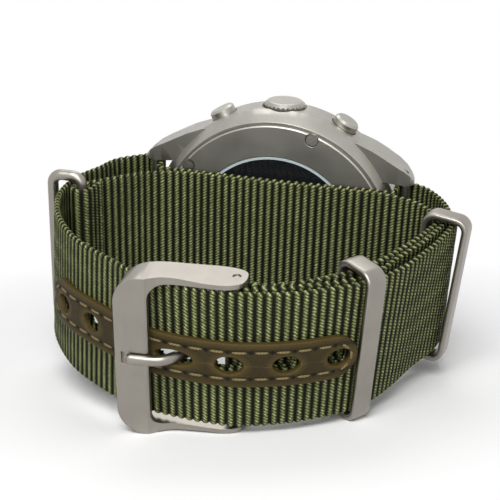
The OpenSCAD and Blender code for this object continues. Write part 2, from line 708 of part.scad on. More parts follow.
// Closed mesh of rings of points, in triangles
module tube_mesh(rings) {
  sides = len(rings[0]);
  last = len(rings) - 1;
  points = [for (r = rings) each r];
  function at(i, j) = i * sides + j % sides;
  faces = concat(
    [for (j = [1 : sides - 2]) [0, j, j + 1]],
    [for (j = [1 : sides - 2]) [at(last, 0), at(last, j + 1), at(last, j)]],
    [for (i = [0 : last - 1], j = [0 : sides - 1]) each [
      [at(i, j), at(i + 1, j), at(i + 1, j + 1)], [at(i, j), at(i + 1, j + 1), at(i, j + 1)]
    ]]
  );
  polyhedron(points, faces);
}

// Spring bar: tube with pointed tips in the lugs' holes
module spring_bar(side) {
  half = lug_gap / 2;
  color("#b0b1ad") head() translate([side * bar_x, 0, bar_y]) rotate([90, 0, 0]) {
    translate([0, 0, -half + 0.1]) cylinder(r = bar_r, h = lug_gap - 0.2);
    translate([0, 0, -half - 1.2]) cylinder(r = 0.42, h = lug_gap + 2.4);
  }
}
module spring_bar_12() { spring_bar(1); }
module spring_bar_6() { spring_bar(-1); }

// Movement
module movement_ring() {
  color("#c9c6b8") head() difference() {
    rotate_extrude($fn = 128) polygon([
      [plate_r + 0.1, bridge_z + 0.3], [cavity_r - 0.2, bridge_z + 0.3], [cavity_r - 0.2, dial_z],
      [plate_r - 0.6, dial_z], [plate_r - 0.6, plate_top + 0.05], [plate_r + 0.1, plate_top + 0.05]
    ]);
    radial(crown_y) translate([0, 0, 12]) cylinder(r = stem_r + 0.35, h = 8);
    for (a = [-1, 1]) rotate(a * pusher_angle) translate([-1.4, -20, pusher_y - 1.2])
      cube([2.8, 5.5, 2.4]);
  }
}
lever_arm = 3;
lever_at = [lever_arm, -groove_at];
module main_plate() {
  color("#b8b4a2") head() difference() {
    union() {
      translate([0, 0, plate_z]) cylinder(r = plate_r, h = plate_t, $fn = 128);
      for (a = pillar_angles) rotate(a) translate([pillar_circle, 0, bridge_z + bridge_t])
        cylinder(r = pillar_r, h = plate_z - bridge_z - bridge_t + eps);
      translate([lever_at.x, lever_at.y, plate_top - eps]) cylinder(r = 0.35, h = eps + 0.5);
    }
    translate([-1.5, -17, plate_z - eps]) cube([3, 17 - stem_in + 0.3, plate_t + 2 * eps]);
    for (a = pillar_angles) rotate(a) translate([pillar_circle, 0, bridge_z])
      cylinder(r = 0.32, h = 3.2);
    for (p = [third_at, escape_at, fork_at, balance_at, barrel_at])
      translate([p.x, p.y, plate_z - eps]) cylinder(r = arbor_r + pivot_gap, h = 1.5);
    translate([0, 0, plate_z - eps]) cylinder(r = 0.45, h = 4);
    translate([0, 0, plate_top - 0.4]) cylinder(r = 0.8, h = 4);
    for (p = subdial_places) translate([p.x, p.y, plate_z - eps])
      cylinder(r = arbor_r + pivot_gap, h = 4);
  }
}
module train_bridge() {
  color("#bab6a6") head() difference() {
    union() {
      translate([0, 0, bridge_z]) cylinder(r = plate_r - 0.5, h = bridge_t, $fn = 96);
      translate([0, 0, rotor_z + 0.5]) cylinder(r = 0.9, h = bridge_z - rotor_z);
    }
    translate([balance_at.x, balance_at.y, bridge_z - eps]) cylinder(r = balance_r + 0.5, h = 4);
    for (a = pillar_angles) rotate(a) translate([pillar_circle, 0, bridge_z - eps]) {
      cylinder(r = 0.34, h = 4);
      cylinder(r = 0.75, h = eps + 0.32);
    }
    translate([0, 0, 1]) cylinder(r = 0.42, h = bridge_z - 1);
    for (p = [third_at, escape_at, fork_at, barrel_at, fourth_at])
      translate([p.x, p.y, bridge_z + 0.2]) cylinder(r = arbor_r + pivot_gap, h = 2);
    translate([0, 0, bridge_z + 0.2]) cylinder(r = 0.45, h = 2);
  }
}
module movement_screws() {
  color("#6f7fa8") head() for (a = pillar_angles) rotate(a) translate([pillar_circle, 0, 0])
    difference() {
      union() {
        translate([0, 0, bridge_z + 0.02]) cylinder(r = 0.7, h = 0.28);
        translate([0, 0, bridge_z + 0.1]) cylinder(r = 0.3, h = 2.8);
      }
      translate([-1, -0.08, bridge_z - 0.1]) cube([2, 0.16, 0.25]);
    }
}
module arbor(p, from, to) {
  translate([p.x, p.y, from]) cylinder(r = arbor_r, h = to - from, $fn = 24);
}
pivot_low = bridge_z + 0.25;
pivot_high = plate_z + 0.9;
module mainspring_barrel() {
  color("#c2a862") head() {
    translate([barrel_at.x, barrel_at.y, low_z]) {
      cylinder(r = barrel_r - 0.5, h = 0.9);
      pinion(barrel_r, 80, 0.35, arbor_r);
    }
    arbor(barrel_at, pivot_low, pivot_high);
  }
}
module centre_wheel() {
  color("#c2a862") head() {
    translate([0, 0, low_z]) pinion(centre_pinion, 10, 0.9, 0.24);
    translate([0, 0, high_z]) wheel(centre_r, 80, 0.24);
    translate([0, 0, pivot_low]) ring(0.4, 0.24, dial_top + 1 - pivot_low);
  }
}
module third_wheel() {
  color("#c2a862") head() {
    translate([third_at.x, third_at.y, 0]) {
      translate([0, 0, mid_z]) wheel(third_r, 75, arbor_r - 0.01);
      translate([0, 0, high_z - 0.15]) pinion(third_pinion, 10, 0.5, arbor_r - 0.01);
    }
    arbor(third_at, pivot_low, pivot_high);
  }
}
module fourth_wheel() {
  color("#c2a862") head() {
    translate([fourth_at.x, fourth_at.y, 0]) {
      translate([0, 0, high_z]) wheel(fourth_r, 70, arbor_r - 0.01);
      translate([0, 0, mid_z - 0.15]) pinion(fourth_pinion, 10, 0.5, arbor_r - 0.01);
    }
    arbor(fourth_at, pivot_low, dial_top + 0.35);
  }
}
module escape_wheel() {
  color("#d2c79a") head() {
    translate([escape_at.x, escape_at.y, 0]) {
      translate([0, 0, mid_z]) wheel(escape_r, 20, arbor_r - 0.01, 4, 0.4);
      translate([0, 0, high_z - 0.1]) pinion(escape_pinion, 7, 0.4, arbor_r - 0.01);
    }
    arbor(escape_at, pivot_low, pivot_high);
  }
}

// Pallet fork: two arms beside the escape wheel and a lever towards the balance
module pallet_fork() {
  color("#c9cac7") head() {
    translate([fork_at.x, fork_at.y, mid_z]) rotate(35) linear_extrude(wheel_t) polygon([
      [-0.35, 0.3], [-1.9, 0.25], [-1.9, -0.25], [-0.35, -0.3], [0.1, -1.9], [0.55, -1.9], [0.4, -0.2],
      [0.4, 0.2], [0.55, 1.9], [0.1, 1.9]
    ]);
    arbor(fork_at, pivot_low, pivot_high);
  }
}
module balance_wheel() {
  color("#c9a24a") head() {
    translate([balance_at.x, balance_at.y, low_z]) {
      linear_extrude(0.35) difference() {
        circle(r = balance_r);
        difference() {
          circle(r = balance_r - 0.6);
          circle(r = 0.6);
          for (a = [0, 120, 240]) rotate(a) translate([0, -0.25]) square([balance_r, 0.5]);
        }
      }
      for (a = [30 : 60 : 330]) rotate(a) translate([balance_r - 0.3, 0, 0.1])
        cylinder(r = 0.22, h = 0.4, $fn = 16);
    }
    arbor(balance_at, bridge_z + 0.25, pivot_high);
  }
}

// Hairspring: a flat spiral whose inner end sits on the balance staff
module hairspring() {
  turns = 6;
  blade = 0.06;
  inner = arbor_r + 0.05;
  outer = 1.9;
  steps = turns * 20;
  function spiral(i, d) = polar(inner + (outer - inner) * i / steps + d, 18 * i);
  color("#8090b5") head() translate([balance_at.x, balance_at.y, bridge_z + 0.45]) {
    linear_extrude(0.15) polygon(concat(
      [for (i = [0 : steps]) spiral(i, 0)], [for (i = [steps : -1 : 0]) spiral(i, blade)]
    ));
    ring(inner + 0.08, arbor_r, 0.15);
  }
}
module balance_cock() {
  width = 2.2;
  reach = sqrt((balance_r + 0.45) ^ 2 - (width / 2) ^ 2);
  color("#bab6a6") head() translate([balance_at.x, balance_at.y, bridge_z - 0.05])
    rotate(35) difference() {
      union() {
        translate([-reach, -width / 2, 0]) cube([2 * reach, width, 0.25]);
        for (s = [0, 1]) mirror([s, 0, 0]) translate([reach - 0.05, -width / 2, 0])
          cube([0.8, width, 0.05]);
      }
      translate([0, 0, -eps]) cylinder(r = arbor_r + pivot_gap, h = 2);
    }
}

// Winding rotor: half disc with a heavy rim, hanging towards the lower side of the case
module rotor() {
  rim = plate_r + 0.3;
  color("#b3b0a4") head() difference() {
    union() {
      intersection() {
        union() {
          translate([0, 0, rotor_z + 0.55]) cylinder(r = rim, h = 0.3, $fn = 96);
          translate([0, 0, rotor_z]) ring(rim, rim - 3.3, 0.85);
        }
        translate([-20, 0.5, 0]) cube([40, 20, 5]);
      }
      translate([0, 0, rotor_z + 0.35]) cylinder(r = 2.4, h = 0.6);
    }
    translate([0, 0, 0.5]) cylinder(r = 0.9 + run_gap, h = 3);
    for (a = [40, 90, 140]) rotate(a) translate([7.4, 0, 0.5]) cylinder(r = 2, h = 3);
  }
}
module rotor_screw() {
  color("#a9aaa6") head() difference() {
    union() {
      translate([0, 0, rotor_z - 0.15]) cylinder(r = 1.3, h = 0.4);
      cylinder_from(0.4, rotor_z, bridge_z - 0.2);
    }
    translate([-2, -0.12, 0]) cube([4, 0.24, rotor_z]);
  }
}
module cylinder_from(r, from, to) {
  translate([0, 0, from]) cylinder(r = r, h = to - from);
}
module sliding_pinion() {
  color("#b9bab6") head() radial(crown_y) translate([0, 0, 9.4]) difference() {
    cylinder(r = 1.0, h = 1.7);
    translate([0, 0, -eps]) cylinder(r = stem_r + run_gap, h = 3);
    translate([0, 0, 0.6]) ring(2, 0.8, 0.5);
  }
}

// Setting lever: turns on its post and carries a pin in the stem's groove
module setting_lever() {
  color("#b0b1ad") head() difference() {
    union() {
      translate([0, lever_at.y - 0.55, plate_top + 0.06]) cube([lever_arm, 1.1, 0.3]);
      translate([lever_at.x, lever_at.y, plate_top + 0.06]) cylinder(r = 0.9, h = 0.3);
      translate([0, lever_at.y, plate_top + 0.06]) cylinder(r = 0.55, h = 0.3);
      translate([0, lever_at.y, crown_y + 0.4]) cylinder(r = 0.28, h = plate_top - crown_y - 0.2);
    }
    translate([lever_at.x, lever_at.y, plate_top - 0.2]) cylinder(r = 0.35 + run_gap, h = 2);
  }
}

// Hands, set at about ten past ten with the chronograph at zero
module hand(length, width, tail_l, hub, bore, z, h) {
  translate([0, 0, z]) difference() {
    union() {
      linear_extrude(h) polygon([
        [-tail_l, -width * 0.35], [0, -width / 2], [length * 0.75, -width / 2], [length, -0.05],
        [length, 0.05], [length * 0.75, width / 2], [0, width / 2], [-tail_l, width * 0.35]
      ]);
      cylinder(r = hub, h = h);
    }
    translate([0, 0, -eps]) cylinder(r = bore, h = h + 2 * eps);
  }
}
module hour_hand() {
  color("#f0efe9") head() rotate(55) {
    hand(hour_hand_l, 1.3, 1.5, 1.2, 0.5, dial_top + 0.5, 0.15);
    translate([0, 0, plate_top - 0.3]) ring(0.7, 0.45, dial_top + 0.65 - plate_top + 0.3);
  }
}
module minute_hand() {
  color("#f0efe9") head() rotate(-60) hand(minute_hand_l, 1.1, 2, 1, 0.4, dial_top + 0.85, 0.15);
}
module chrono_seconds_hand() {
  color("#d6542a") head() {
    hand(15, 0.35, 4, 0.8, 0.15, dial_top + 1.25, 0.12);
    translate([0, 0, pivot_low]) cylinder(r = 0.2, h = dial_top + 1.37 - pivot_low);
  }
}
module small_hand(angle, with_arbor) {
  rotate(angle) hand(2.9, 0.35, 0.8, 0.4, arbor_r - 0.01, dial_top + 0.2, 0.1);
  if (with_arbor) translate([0, 0, plate_top - 0.6])
    cylinder(r = arbor_r, h = dial_top + 0.3 - plate_top + 0.6, $fn = 24);
}
module small_seconds_hand() {
  color("#f0efe9") head() translate([0, subdial_x, 0]) small_hand(150, false);
}
module minute_counter_hand() {
  color("#f0efe9") head() translate([subdial_x, 0, 0]) small_hand(0, true);
}
module hour_counter_hand() {
  color("#f0efe9") head() translate([-subdial_x, 0, 0]) small_hand(0, true);
}

// Band along a path in plan, with its lean, half width and middle height at each station
module band(path, thick, leans, half, middle) {
  tube_mesh([for (i = [0 : len(path) - 1])
    let(
      p = path[i], d = direction(path, i), across = across_at(p, leans[i]),
      through = unit(cross(across, [d.x, d.y, 0])) * thick / 2,
      low = across * (middle[i] - half[i]), high = across * (middle[i] + half[i]),
      c = [p.x, p.y, 0]
    )
    [c - through + low, c + through + low, c + through + high, c - through + high]
  ]);
}
function same(path, value) = [for (p = path) value];

// Puts its children at a station of the tail, +Y along the strap, +Z out of it, X across its width
module on_tail(s, depth = 0) {
  p = layer(s, depth);
  d = tail_dir(s);
  across = across_at(p, lean_at(p));
  translate([p.x, p.y, 0]) rotate([0, 0, atan2(d.y, d.x)])
    rotate([atan2(-across * [-d.y, d.x, 0], across.z), 0, 0])
    rotate([0, asin(across * [d.x, d.y, 0]), 0]) rotate([90, 0, 0]) rotate([0, 0, 90])
    mirror([0, 1, 0]) children();
}

// Places along the buckle: X along the arms, Y out of the strap, Z as the strap's width
module at_buckle() {
  translate([hinge_at.x, hinge_at.y, 0]) rotate([front_lean, 0, 0])
    rotate([0, 0, 180 + buckle_lean]) children();
}
module long_hole(l, w, h) {
  translate([-w / 2, -(l - w) / 2, -h / 2]) cube([w, l - w, h]);
  for (s = [-1, 1]) translate([0, s * (l - w) / 2, -h / 2]) cylinder(r = w / 2, h = h, $fn = 32);
}
module main_strap() {
  color("#4d5a38") standing() difference() {
    band(
      main_path, strap_t, [for (p = main_path) lean_at(p)], same(main_path, strap_w / 2),
      same(main_path, 0)
    );
    for (s = hole_stations) on_tail(s) translate([leather_z(s), 0, 0])
      long_hole(hole_l - 0.5, hole_w - 0.4, strap_t + layer_gap);
    on_tail(s_prong) translate([leather_z(s_prong), 0, 0])
      long_hole(prong_hole_l, prong_hole_w, strap_t + 0.6);
    at_buckle() translate([-2.2, -1.9, -1.4]) cube([4.1, 3.4, 2.8]);
  }
}
module under_strap() {
  color("#46532f") standing() band(
    under_path, strap_t, [for (p = under_path) max(0, lean_at(p))], same(under_path, strap_w / 2),
    same(under_path, 0)
  );
}

// Leather strip on the tail, with round ends and stitched edges
leather_out = strap_t / 2 + leather_t / 2 + seat_gap;
nose_steps = [0, 0.15, 0.5, 1.1, 1.9, 2.8, 3.5];
leather_stations = [
  for (u = nose_steps) s_leather_start + u,
  for (s = [s_leather_start + 5 : step : s_leather_end - 4]) s,
  for (i = [len(nose_steps) - 1 : -1 : 0]) s_leather_end - nose_steps[i]
];
leather_mid = [[0, -1.3], [12, -0.6], [38, 0.1]];
function leather_half(s) =
  let(r = leather_w / 2, u = min(r, s_leather_end - s, s - s_leather_start))
  max(0.4, sqrt(r ^ 2 - (r - u) ^ 2));
function leather_z(s) = lookup(s, leather_mid);
module leather_strip() {
  path = [for (s = leather_stations) layer(s, -leather_out)];
  color("#5b4a2c") standing() difference() {
    band(
      path, leather_t, [for (p = path) lean_at(p)], [for (s = leather_stations) leather_half(s)],
      [for (s = leather_stations) leather_z(s)]
    );
    for (s = hole_stations) on_tail(s, -leather_out) translate([leather_z(s), 0, 0])
      long_hole(hole_l, hole_w, 4 * leather_t);
    on_tail(s_prong, -leather_out) translate([leather_z(s_prong), 0, 0])
      long_hole(prong_hole_l, prong_hole_w, 4 * leather_t);
  }
}

// Thread: short stitches that lie on the leather in two rows
stitch_l = 2.2;
stitch_step = 2.9;
stitch_r = 0.16;
stitch_row = leather_w / 2 - 1.3;
module stitch(l) {
  translate([0, l / 2, 0]) rotate([90, 0, 0]) cylinder(r = stitch_r, h = l, $fn = 16);
}
module strap_stitching() {
  stitch_count = floor((s_leather_end - s_leather_start - 7) / stitch_step);
  color("#8d8157") standing() {
    for (i = [0 : stitch_count], side = [-1, 1]) {
      s = s_leather_start + 3.6 + i * stitch_step;
      on_tail(s, -leather_out - leather_t / 2 - stitch_r - 0.03)
        translate([leather_z(s) + side * stitch_row, 0, 0]) stitch(stitch_l);
    }
  }
}

// Buckle: arms beside the strap and a bar across it, with a notch for the prong
module rounded(l, w, r) {
  translate([r, -w / 2]) square([l - 2 * r, w]);
  translate([0, -w / 2 + r]) square([l, w - 2 * r]);
  for (x = [r, l - r], y = [-w / 2 + r, w / 2 - r]) translate([x, y]) circle(r = r);
}
function backwards(c) = [for (i = [len(c) - 1 : -1 : 0]) c[i]];
module buckle_frame() {
  high = 12;
  color("#a9aaa7") standing() at_buckle() difference() {
    intersection() {
      translate([0, 0, -buckle_w / 2]) linear_extrude(buckle_w)
        polygon(concat(smooth(arm_front, 3), backwards(smooth(arm_back, 3))));
      translate([0, high, 0]) rotate([90, 0, 0]) linear_extrude(2 * high) difference() {
        intersection() {
          translate([-high, 0]) rounded(buckle_l + high, buckle_w, corner_r);
          polygon([
            [-2 * high, -lobe_half], [lobe_l, -lobe_half], [bar_at, -buckle_w / 2 - 0.02],
            [2 * high, -2 * high], [2 * high, 2 * high], [bar_at, buckle_w / 2 + 0.02],
            [lobe_l, lobe_half], [-2 * high, lobe_half]
          ]);
        }
        translate([-2 * high, 0]) rounded(bar_at + 2 * high, 2 * arm_in, 2);
      }
    }
    translate([bar_at - 4, bar_low - high, -arm_in]) cube([high, high, 2 * arm_in]);
    translate([0, 0, -buckle_w]) cylinder(r = pin_r + seat_gap, h = 2 * buckle_w, $fn = 48);
    translate([bar_at - 1, prong_high - prong_t / 2 - 0.2, -prong_w / 2 - 0.2])
      cube([prong_end + free_gap - bar_at + 1, 2, prong_w + 0.4]);
  }
}
module buckle_pin() {
  color("#b1b2ae") standing() at_buckle() translate([0, 0, 0.2 - lobe_half])
    cylinder(r = pin_r, h = 2 * lobe_half - 0.4, $fn = 48);
}
module buckle_prong() {
  line = smooth(prong_line, 3);
  up = shifted(line, prong_t / 2);
  low = shifted(line, -prong_t / 2);
  last = len(line) - 1;
  color("#a9aaa7") standing() at_buckle() difference() {
    union() {
      translate([0, 0, -prong_w / 2]) linear_extrude(prong_w)
        polygon(concat(up, backwards(low)));
      translate([line[last].x, line[last].y, -prong_w / 2 + seat_gap])
        cylinder(r = prong_t / 2 - seat_gap, h = prong_w - 2 * seat_gap);
      translate([0, 0, -1.1]) cylinder(r = prong_ring, h = 2.2, $fn = 48);
    }
    translate([0, 0, -2]) cylinder(r = pin_r + 0.05, h = 4, $fn = 48);
  }
}

// Keepers: flat strips bent round the layers, drawn on the tail's station
module keeper(s, out_gap, in_gap, turn) {
  outer_face = strap_t / 2 + out_gap;
  inner_face = third_depth(s - s_hinge) + strap_t / 2 + in_gap;
  span = outer_face + inner_face;
  outer_half = keeper_high + keeper_t;
  on_tail(s) rotate([0, turn, 0]) translate([0, keeper_w / 2, -inner_face - keeper_t])
    rotate([90, 0, 0]) linear_extrude(keeper_w) difference() {
      translate([-outer_half, span / 2 + keeper_t])
        rounded(2 * outer_half, span + 2 * keeper_t, keeper_corner + keeper_t);
      translate([-keeper_high, span / 2 + keeper_t]) rounded(2 * keeper_high, span, keeper_corner);
    }
}
module keeper_near() {
  color("#a9aaa7") standing() keeper(s_keeper_near, keeper_gap, keeper_gap, 0);
}
module keeper_far() {
  color("#a9aaa7") standing() keeper(s_keeper_far, keeper_far_gap, 0.8, keeper_far_turn);
}

// End ring: a wire rectangle with round corners, hung in the under-strap's fold
module strap_ring() {
  depth = ring_at.x - ring_out;
  r = ring_wire / 2;
  color("#a9aaa7") standing() translate([ring_at.x, ring_at.y, 0]) {
    for (x = [0, -depth]) translate([x, 0, -ring_half + ring_corner])
      cylinder(r = r, h = 2 * (ring_half - ring_corner), $fn = 32);
    for (z = [-ring_half, ring_half]) translate([-depth + ring_corner, 0, z]) rotate([0, 90, 0])
      cylinder(r = r, h = depth - 2 * ring_corner, $fn = 32);
    for (x = [0, 1], z = [0, 1]) translate([-depth / 2, 0, 0]) mirror([x, 0, 0]) mirror([0, 0, z])
      translate([depth / 2 - ring_corner, 0, ring_half - ring_corner]) rotate([90, 0, 0])
        rotate_extrude(angle = 90) translate([ring_corner, 0]) circle(r = r, $fn = 32);
  }
}

case_middle();
bezel();
crystal();
crystal_gasket();
inner_flange();
dial();
dial_markers();
case_back();
back_window();
back_window_gasket();
back_gasket();
back_screws();
crown();
winding_stem();
crown_tube();
crown_gasket();
start_pusher();
reset_pusher();
start_pusher_spring();
reset_pusher_spring();
pusher_tubes();
spring_bar_12();
spring_bar_6();
movement_ring();
main_plate();
train_bridge();
movement_screws();
mainspring_barrel();
centre_wheel();
third_wheel();
fourth_wheel();
escape_wheel();
pallet_fork();
balance_wheel();
hairspring();
balance_cock();
rotor();
rotor_screw();
sliding_pinion();
setting_lever();
hour_hand();
minute_hand();
chrono_seconds_hand();
small_seconds_hand();
minute_counter_hand();
hour_counter_hand();
main_strap();
under_strap();
leather_strip();
strap_stitching();
buckle_frame();
buckle_pin();
buckle_prong();
keeper_near();
keeper_far();
strap_ring();
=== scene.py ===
import json
import math
from bisect import bisect_left

import bmesh
import bpy
from mathutils import Matrix, Vector


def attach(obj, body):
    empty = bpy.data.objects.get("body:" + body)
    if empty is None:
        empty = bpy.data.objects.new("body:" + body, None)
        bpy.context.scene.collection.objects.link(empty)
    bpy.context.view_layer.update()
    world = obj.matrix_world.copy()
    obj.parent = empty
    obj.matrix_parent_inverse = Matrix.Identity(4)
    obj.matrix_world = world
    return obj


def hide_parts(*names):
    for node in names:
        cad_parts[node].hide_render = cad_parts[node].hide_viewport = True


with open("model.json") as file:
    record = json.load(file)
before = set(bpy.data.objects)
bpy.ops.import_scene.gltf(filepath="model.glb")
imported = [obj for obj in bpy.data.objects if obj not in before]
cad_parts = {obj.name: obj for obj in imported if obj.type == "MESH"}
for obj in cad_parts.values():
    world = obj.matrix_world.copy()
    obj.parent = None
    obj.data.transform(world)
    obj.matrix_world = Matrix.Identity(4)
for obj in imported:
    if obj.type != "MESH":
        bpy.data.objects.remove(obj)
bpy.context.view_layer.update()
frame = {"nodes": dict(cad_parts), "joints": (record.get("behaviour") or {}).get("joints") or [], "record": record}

bl_info = {
    "name": "Pilot watch finishes",
    "version": (1, 0, 0),
    "blender": (4, 5, 0),
    "location": "View3D > Sidebar > Watch",
    "description": "Webbing, leather, stitching, softened steel and finishes for a pilot watch",
    "category": "Object",
}

MM = 0.001
JOINTS = {j["name"]: j for j in frame["joints"]}
MOUNTS = {m["name"]: m for m in frame["record"]["mounts"]}

# The case's own axes in the frame: towards 12 o'clock, towards the dial, towards the crown
DIAL_WAY = Vector(MOUNTS["crystal_face"]["axis"]).normalized()
CROWN_WAY = Vector(JOINTS["crown_turn"]["axis"]).normalized()
TWELVE_WAY = DIAL_WAY.cross(CROWN_WAY)
TURN = Matrix((TWELVE_WAY, DIAL_WAY, CROWN_WAY)).transposed()
CRYSTAL_TOP = 12.2
BACK_CENTRE = Vector(MOUNTS["crystal_face"]["pos_m"]) - DIAL_WAY * CRYSTAL_TOP * MM


def stand(x, y, z):
    """A point of the case's own axes, in mm from the middle of the case back, in the frame."""
    return BACK_CENTRE + TURN @ Vector((x, y, z)) * MM


# Settings that a user would change

def size_prop(name, description, default):
    return bpy.props.FloatProperty(name=name, description=description, default=default, unit="NONE")


def colour_prop(name, description, code):
    return bpy.props.FloatVectorProperty(
        name=name, description=description, default=shade_of(code), size=3, subtype="COLOR", min=0, max=1)


def shade_of(code):
    """Linear colour of a six-digit screen colour."""
    parts = [int(code[i:i + 2], 16) / 255 for i in (0, 2, 4)]
    return tuple(c / 12.92 if c < 0.04045 else ((c + 0.055) / 1.055) ** 2.4 for c in parts)


class WebbingSettings(bpy.types.PropertyGroup):
    rib_pitch: size_prop("Rib pitch", "Distance between two ribs along the strap, in mm", 1.24)
    rib_depth: size_prop("Rib depth", "Depth of the valleys between the ribs, in mm", 0.2)
    yarn_pitch: size_prop("Yarn pitch", "Distance between two yarns across the strap, in mm", 0.52)
    yarn_depth: size_prop("Yarn depth", "Height of each yarn on a rib, in mm", 0.05)
    ridge: colour_prop("Ridge", "Colour of the ribs", "6F7548")
    # The valley colour is painted shade: near black where the ribs leave a gap
    valley_shade: colour_prop("Valley", "Colour between the ribs", "0B0E05")
    # Pale threads set only on the crests of ribs and yarns: partly the yarn's own pale fibres, partly a painted
    # highlight
    fleck_and_highlight: colour_prop("Fleck", "Colour of the palest threads", "C2C594")


class LeatherSettings(bpy.types.PropertyGroup):
    width: size_prop("Width", "Width of the leather strip, in mm", 7.0)
    thickness: size_prop("Thickness", "Thickness of the leather strip, in mm", 0.9)
    hole_l: size_prop("Hole length", "Length of an adjusting hole along the strap, in mm", 3.7)
    hole_w: size_prop("Hole width", "Width of an adjusting hole, in mm", 2.8)
    stitch_step: size_prop("Stitch step", "Distance between two stitches, in mm", 2.9)
    stitch_l: size_prop("Stitch length", "Length of thread that shows in a stitch, in mm", 2.2)
    stitch_inset: size_prop("Stitch inset", "Distance of the stitches from the leather's edge, in mm", 1.35)
    body: colour_prop("Leather", "Colour of the leather", "2F260E")
    worn: colour_prop("Worn leather", "Colour of the leather where it is rubbed", "453816")
    thread: colour_prop("Thread", "Colour of the thread", "74663A")


class MetalSettings(bpy.types.PropertyGroup):
    case: colour_prop("Case", "Colour of the case's steel", "A6A39C")
    fittings: colour_prop("Fittings", "Colour of the buckle and keepers", "9A958D")
    movement: colour_prop("Movement", "Colour of plates and bridges", "B5B1A4")
    brass: colour_prop("Brass", "Colour of the gilt wheels", "C9A65A")


class StageSettings(bpy.types.PropertyGroup):
    yaw: bpy.props.FloatProperty(
        name="Yaw", description="Turn of the camera about the crown's axis, from the case back's own way",
        default=0.2178976, subtype="ANGLE")
    elevation: bpy.props.FloatProperty(
        name="Elevation", description="Height of the camera over the plane across the crown's axis",
        default=0.4215858, subtype="ANGLE")
    roll: bpy.props.FloatProperty(
        name="Roll", description="Turn of the camera about its own axis", default=-0.0296710,
        subtype="ANGLE")
    distance: size_prop("Distance", "Distance from the camera to the point that it looks at, in mm", 199.844)
    aim: bpy.props.FloatVectorProperty(
        name="Aim", description="Point that the camera looks at, in mm on the case's own axes",
        default=(-3.8986, 0.0, -3.2260), size=3)
    lens: bpy.props.FloatProperty(
        name="Lens", description="Focal length on a 36 mm sensor", default=82.28)
    floor: colour_prop("Floor", "Colour of the floor", "F4F4F4")


# Plane geometry of the strap, in mm, seen along the crown's axis

def left_of(v):
    return Vector((-v.y, v.x))


def polar(r, degrees):
    return Vector((r * math.cos(math.radians(degrees)), r * math.sin(math.radians(degrees))))


def arc(centre, r, start, end, count):
    return [Vector(centre) + polar(r, start + (end - start) * i / count) for i in range(count + 1)]


def spline_at(a, b, c, d, t):
    return 0.5 * (2 * b + (c - a) * t + (2 * a - 5 * b + 4 * c - d) * t ** 2
                  + (3 * b - a - 3 * c + d) * t ** 3)


def smooth(points, count, first=0):
    """A curve through the points from the first one on, with count steps between two of them."""
    p = [Vector(q) for q in points]
    last = len(p) - 1
    line = [spline_at(p[max(i - 1, 0)], p[i], p[i + 1], p[min(i + 2, last)], k / count)
            for i in range(first, last) for k in range(count)]
    return line + [p[-1]]


def lookup(x, table):
    """Value at x from pairs in rising order, on straight lines between them."""
    keys = [k for k, _ in table]
    if x <= keys[0]:
        return table[0][1]
    if x >= keys[-1]:
        return table[-1][1]
    i = bisect_left(keys, x)
    (x0, y0), (x1, y1) = table[i - 1], table[i]
    return y0 + (y1 - y0) * (x - x0) / (x1 - x0)


def stations(start, end, step):
    return [start + i * step for i in range(int(math.floor((end - start) / step + 1e-9)) + 1)]


class Line:
    """A plane line through points, followed by its length."""

    upright = False

    def __init__(self, points):
        self.points = [Vector(p) for p in points]
        self.lengths = [0.0]
        for a, b in zip(self.points, self.points[1:]):
            self.lengths.append(self.lengths[-1] + (b - a).length)
        self.length = self.lengths[-1]

    def at(self, s):
        s = min(max(s, 0.0), self.length)
        i = min(max(bisect_left(self.lengths, s), 1), len(self.points) - 1)
        a, b = self.points[i - 1], self.points[i]
        span = self.lengths[i] - self.lengths[i - 1]
        t = (s - self.lengths[i - 1]) / span if span else 0.0
        before, after = self.points[max(i - 2, 0)], self.points[min(i + 1, len(self.points) - 1)]
        return spline_at(before, a, b, after, t)

    def way(self, s, reach=0.5):
        return (self.at(s + reach) - self.at(s - reach)).normalized()


# Sizes of the strap, as the frame's solids have them
STRAP_W, STRAP_T, LAYER_GAP, WRAP_GAP = 22.0, 1.0, 0.06, 0.08
BAR_X, BAR_Y, BAR_R, PIN_R, RING_WIRE = 21.8, 2.7, 0.75, 0.6, 1.8
LEFT, RIGHT, FRONT = -32.8, 31.2, -44.85
PITCH = STRAP_T + LAYER_GAP
PIN_LOOP = PIN_R + WRAP_GAP + STRAP_T / 2
STEP = 1.5

# The tail's outer face, from the left end past the front to the right end
FACE_POINTS = [
    (LEFT + 2.6, -3.7), (LEFT + 0.7, -8.4), (LEFT, -13.5), (LEFT + 0.35, -18.2), (LEFT + 1.8, -22.8),
    (LEFT + 3.9, FRONT + 17.75), (LEFT + 6.9, FRONT + 13.45), (LEFT + 10.3, FRONT + 9.75),
    (LEFT + 14.4, FRONT + 6.65), (LEFT + 18.4, FRONT + 4.1), (-10.8, FRONT + 2.1), (-7.3, FRONT + 0.9),
    (-3.4, FRONT + 0.2), (0.4, FRONT), (4.3, FRONT + 0.2), (7.8, FRONT + 1.2), (10.9, FRONT + 2.4),
    (13.7, FRONT + 3.9), (16.4, FRONT + 5.7), (RIGHT - 12.2, FRONT + 7.7), (RIGHT - 9.7, FRONT + 10.3),
    (RIGHT - 7.5, FRONT + 13.6), (RIGHT - 5.6, FRONT + 17.6), (RIGHT - 4.1, FRONT + 21.7),
    (RIGHT - 2.3, -18.2), (RIGHT - 0.8, -13.6), (RIGHT, -9), (RIGHT - 0.1, -5),
]

# How far the band leans out at its top, in degrees by X, and the share of it by Y
FRONT_LEAN = 3.6
LEAN_BY_X = [(-30, -2.3), (-15, -2), (-6, FRONT_LEAN - 0.2), (-4, FRONT_LEAN), (4.8, FRONT_LEAN),
             (9, FRONT_LEAN + 1.1), (20, FRONT_LEAN + 1.2), (25, FRONT_LEAN + 2.2)]
LEAN_BY_Y = [(-20, 1), (-13, 0.45), (-2, 0)]

